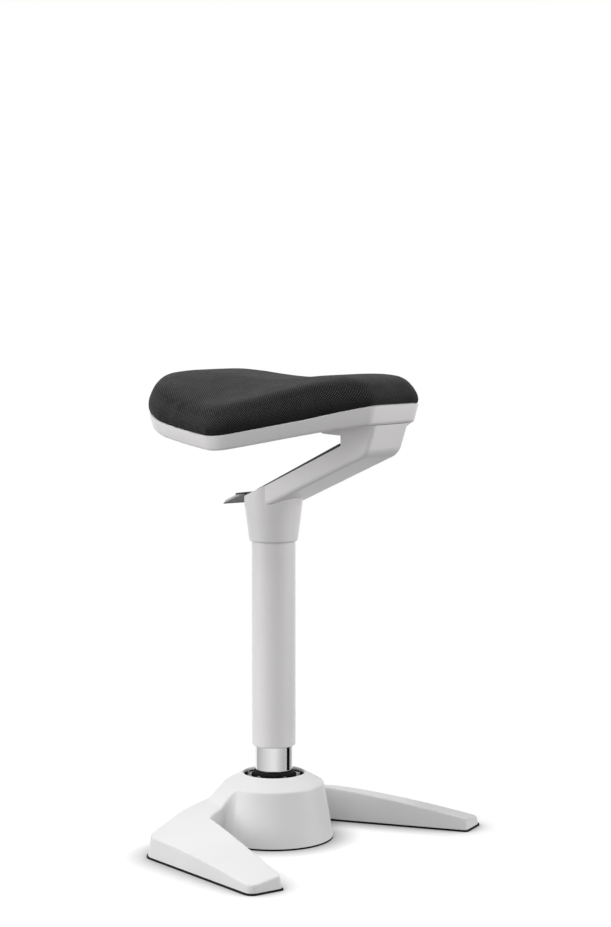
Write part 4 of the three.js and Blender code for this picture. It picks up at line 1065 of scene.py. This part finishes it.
def areaLight(name, place, aim, size, power):
    data = bpy.data.lights.new(name, "AREA")
    data.shape = "RECTANGLE"
    data.size, data.size_y = size
    data.energy = power
    lamp = linked(name, data)
    lamp.location = place
    lamp.rotation_mode = "QUATERNION"
    lamp.rotation_quaternion = (Vector(place) - Vector(aim)).to_track_quat("Z", "Y")


# Directions are named as the camera sees them: right, away and up
turn = math.radians(room["turn"])


def seenAt(right, away, up):
    return (right * math.cos(turn) - away * math.sin(turn), right * math.sin(turn) + away * math.cos(turn), up)


lamps = {
    "leftBox": {"place": (-2.2, -0.3, 1.05), "size": (1.6, 1.6), "power": 26},
    "rightBox": {"place": (2.2, -0.1, 1.05), "size": (1.4, 1.6), "power": 27},
    "frontBox": {"place": (-0.5, -2.5, 0.5), "size": (1.8, 0.8), "power": 8},
    "topBox": {"place": (-0.8, -0.7, 2.4), "size": (1.4, 1.4), "power": 26},
}
for name, lamp in lamps.items():
    areaLight(name, seenAt(*lamp["place"]), room["aim"], lamp["size"], lamp["power"])

# Cards round the stool, seen only in the chrome: each is a row of (bearing from the camera, tone)
cardReach, cardFoot, cardTop = 0.32, 0.004, 0.5
cards = {
    "leftCard": [(0, 1), (-10, 1), (-31, 0.94), (-62, 0.8), (-94, 0.66), (-124, 0.52)],
    "rightCard": [(0, 1), (9, 0.99), (26, 0.83), (43, 0.7), (62, 0.59), (83, 0.64)],
    "stripeCard": [(83, 0), (110, 0)],
    "backCard": [(110, 0.52), (138, 0.54)],
}


def mirrorCard(name, tones):
    bm = bmesh.new()
    toneMap = bm.loops.layers.uv.new("toneMap")
    feet = []
    for bearing, _ in tones:
        angle = math.radians(bearing)
        feet.append(bm.verts.new(seenAt(cardReach * math.sin(angle), -cardReach * math.cos(angle), cardFoot)))
    edges = [bm.edges.new(pair) for pair in zip(feet, feet[1:])]
    moveGrown(bm, bmesh.ops.extrude_edge_only(bm, edges=edges), (0, 0, cardTop - cardFoot))
    for face in bm.faces:
        for loop in face.loops:
            nearest = min(range(len(feet)), key=lambda i: (feet[i].co.xy - loop.vert.co.xy).length)
            loop[toneMap].uv = (tones[nearest][1], 0)
    obj = addObject(name, toMesh(bm))
    material, tree, shader = newMaterial(name, Roughness=0.9, Specular_IOR_Level=0, Emission_Strength=1)
    shader.inputs["Base Color"].default_value = (0, 0, 0, 1)
    tone = addNode(tree, "ShaderNodeSeparateXYZ")
    tree.links.new(addNode(tree, "ShaderNodeUVMap", uv_map="toneMap").outputs["UV"], tone.inputs["Vector"])
    tree.links.new(tone.outputs["X"], shader.inputs["Emission Color"])
    obj.data.materials.append(material)
    obj.visible_camera = False
    obj.visible_diffuse = False
    obj.visible_shadow = False


for name, tones in cards.items():
    mirrorCard(name, tones)

world = bpy.data.worlds.new("studio")
bpy.context.scene.world = world
world.use_nodes = True
tree = world.node_tree
background = tree.nodes["Background"]
background.inputs["Strength"].default_value = room["ambient"]
white = addNode(tree, "ShaderNodeBackground", Strength=1.0)
white.inputs["Color"].default_value = (1, 1, 1, 1)
background.inputs["Color"].default_value = (1, 1, 1, 1)
lightPath = addNode(tree, "ShaderNodeLightPath")
mixer = addNode(tree, "ShaderNodeMixShader")
shown = lightPath.outputs["Is Camera Ray"]
for kind in ("Is Glossy Ray", "Is Transmission Ray"):
    shown = figured(tree, "MAXIMUM", shown, lightPath.outputs[kind])
tree.links.new(shown, mixer.inputs[0])
tree.links.new(background.outputs[0], mixer.inputs[1])
tree.links.new(white.outputs[0], mixer.inputs[2])
tree.links.new(mixer.outputs[0], tree.nodes["World Output"].inputs["Surface"])

camera = linked("camera", bpy.data.cameras.new("camera"))
camera.data.lens = room["lens"]
camera.data.sensor_width = room["sensor"]
camera.data.clip_start, camera.data.clip_end = room["clip"]
camera.location = seenAt(0, -room["distance"], room["height"])
tilt, pan = math.radians(room["tilt"]), math.radians(room["pan"])
forward = Vector(seenAt(math.sin(pan) * math.cos(tilt), math.cos(pan) * math.cos(tilt), -math.sin(tilt)))
camera.rotation_mode = "QUATERNION"
camera.rotation_quaternion = (-forward).to_track_quat("Z", "Y")
bpy.context.scene.camera = camera
bpy.context.scene.view_settings.view_transform = "Standard"
print("room, lights and camera made")
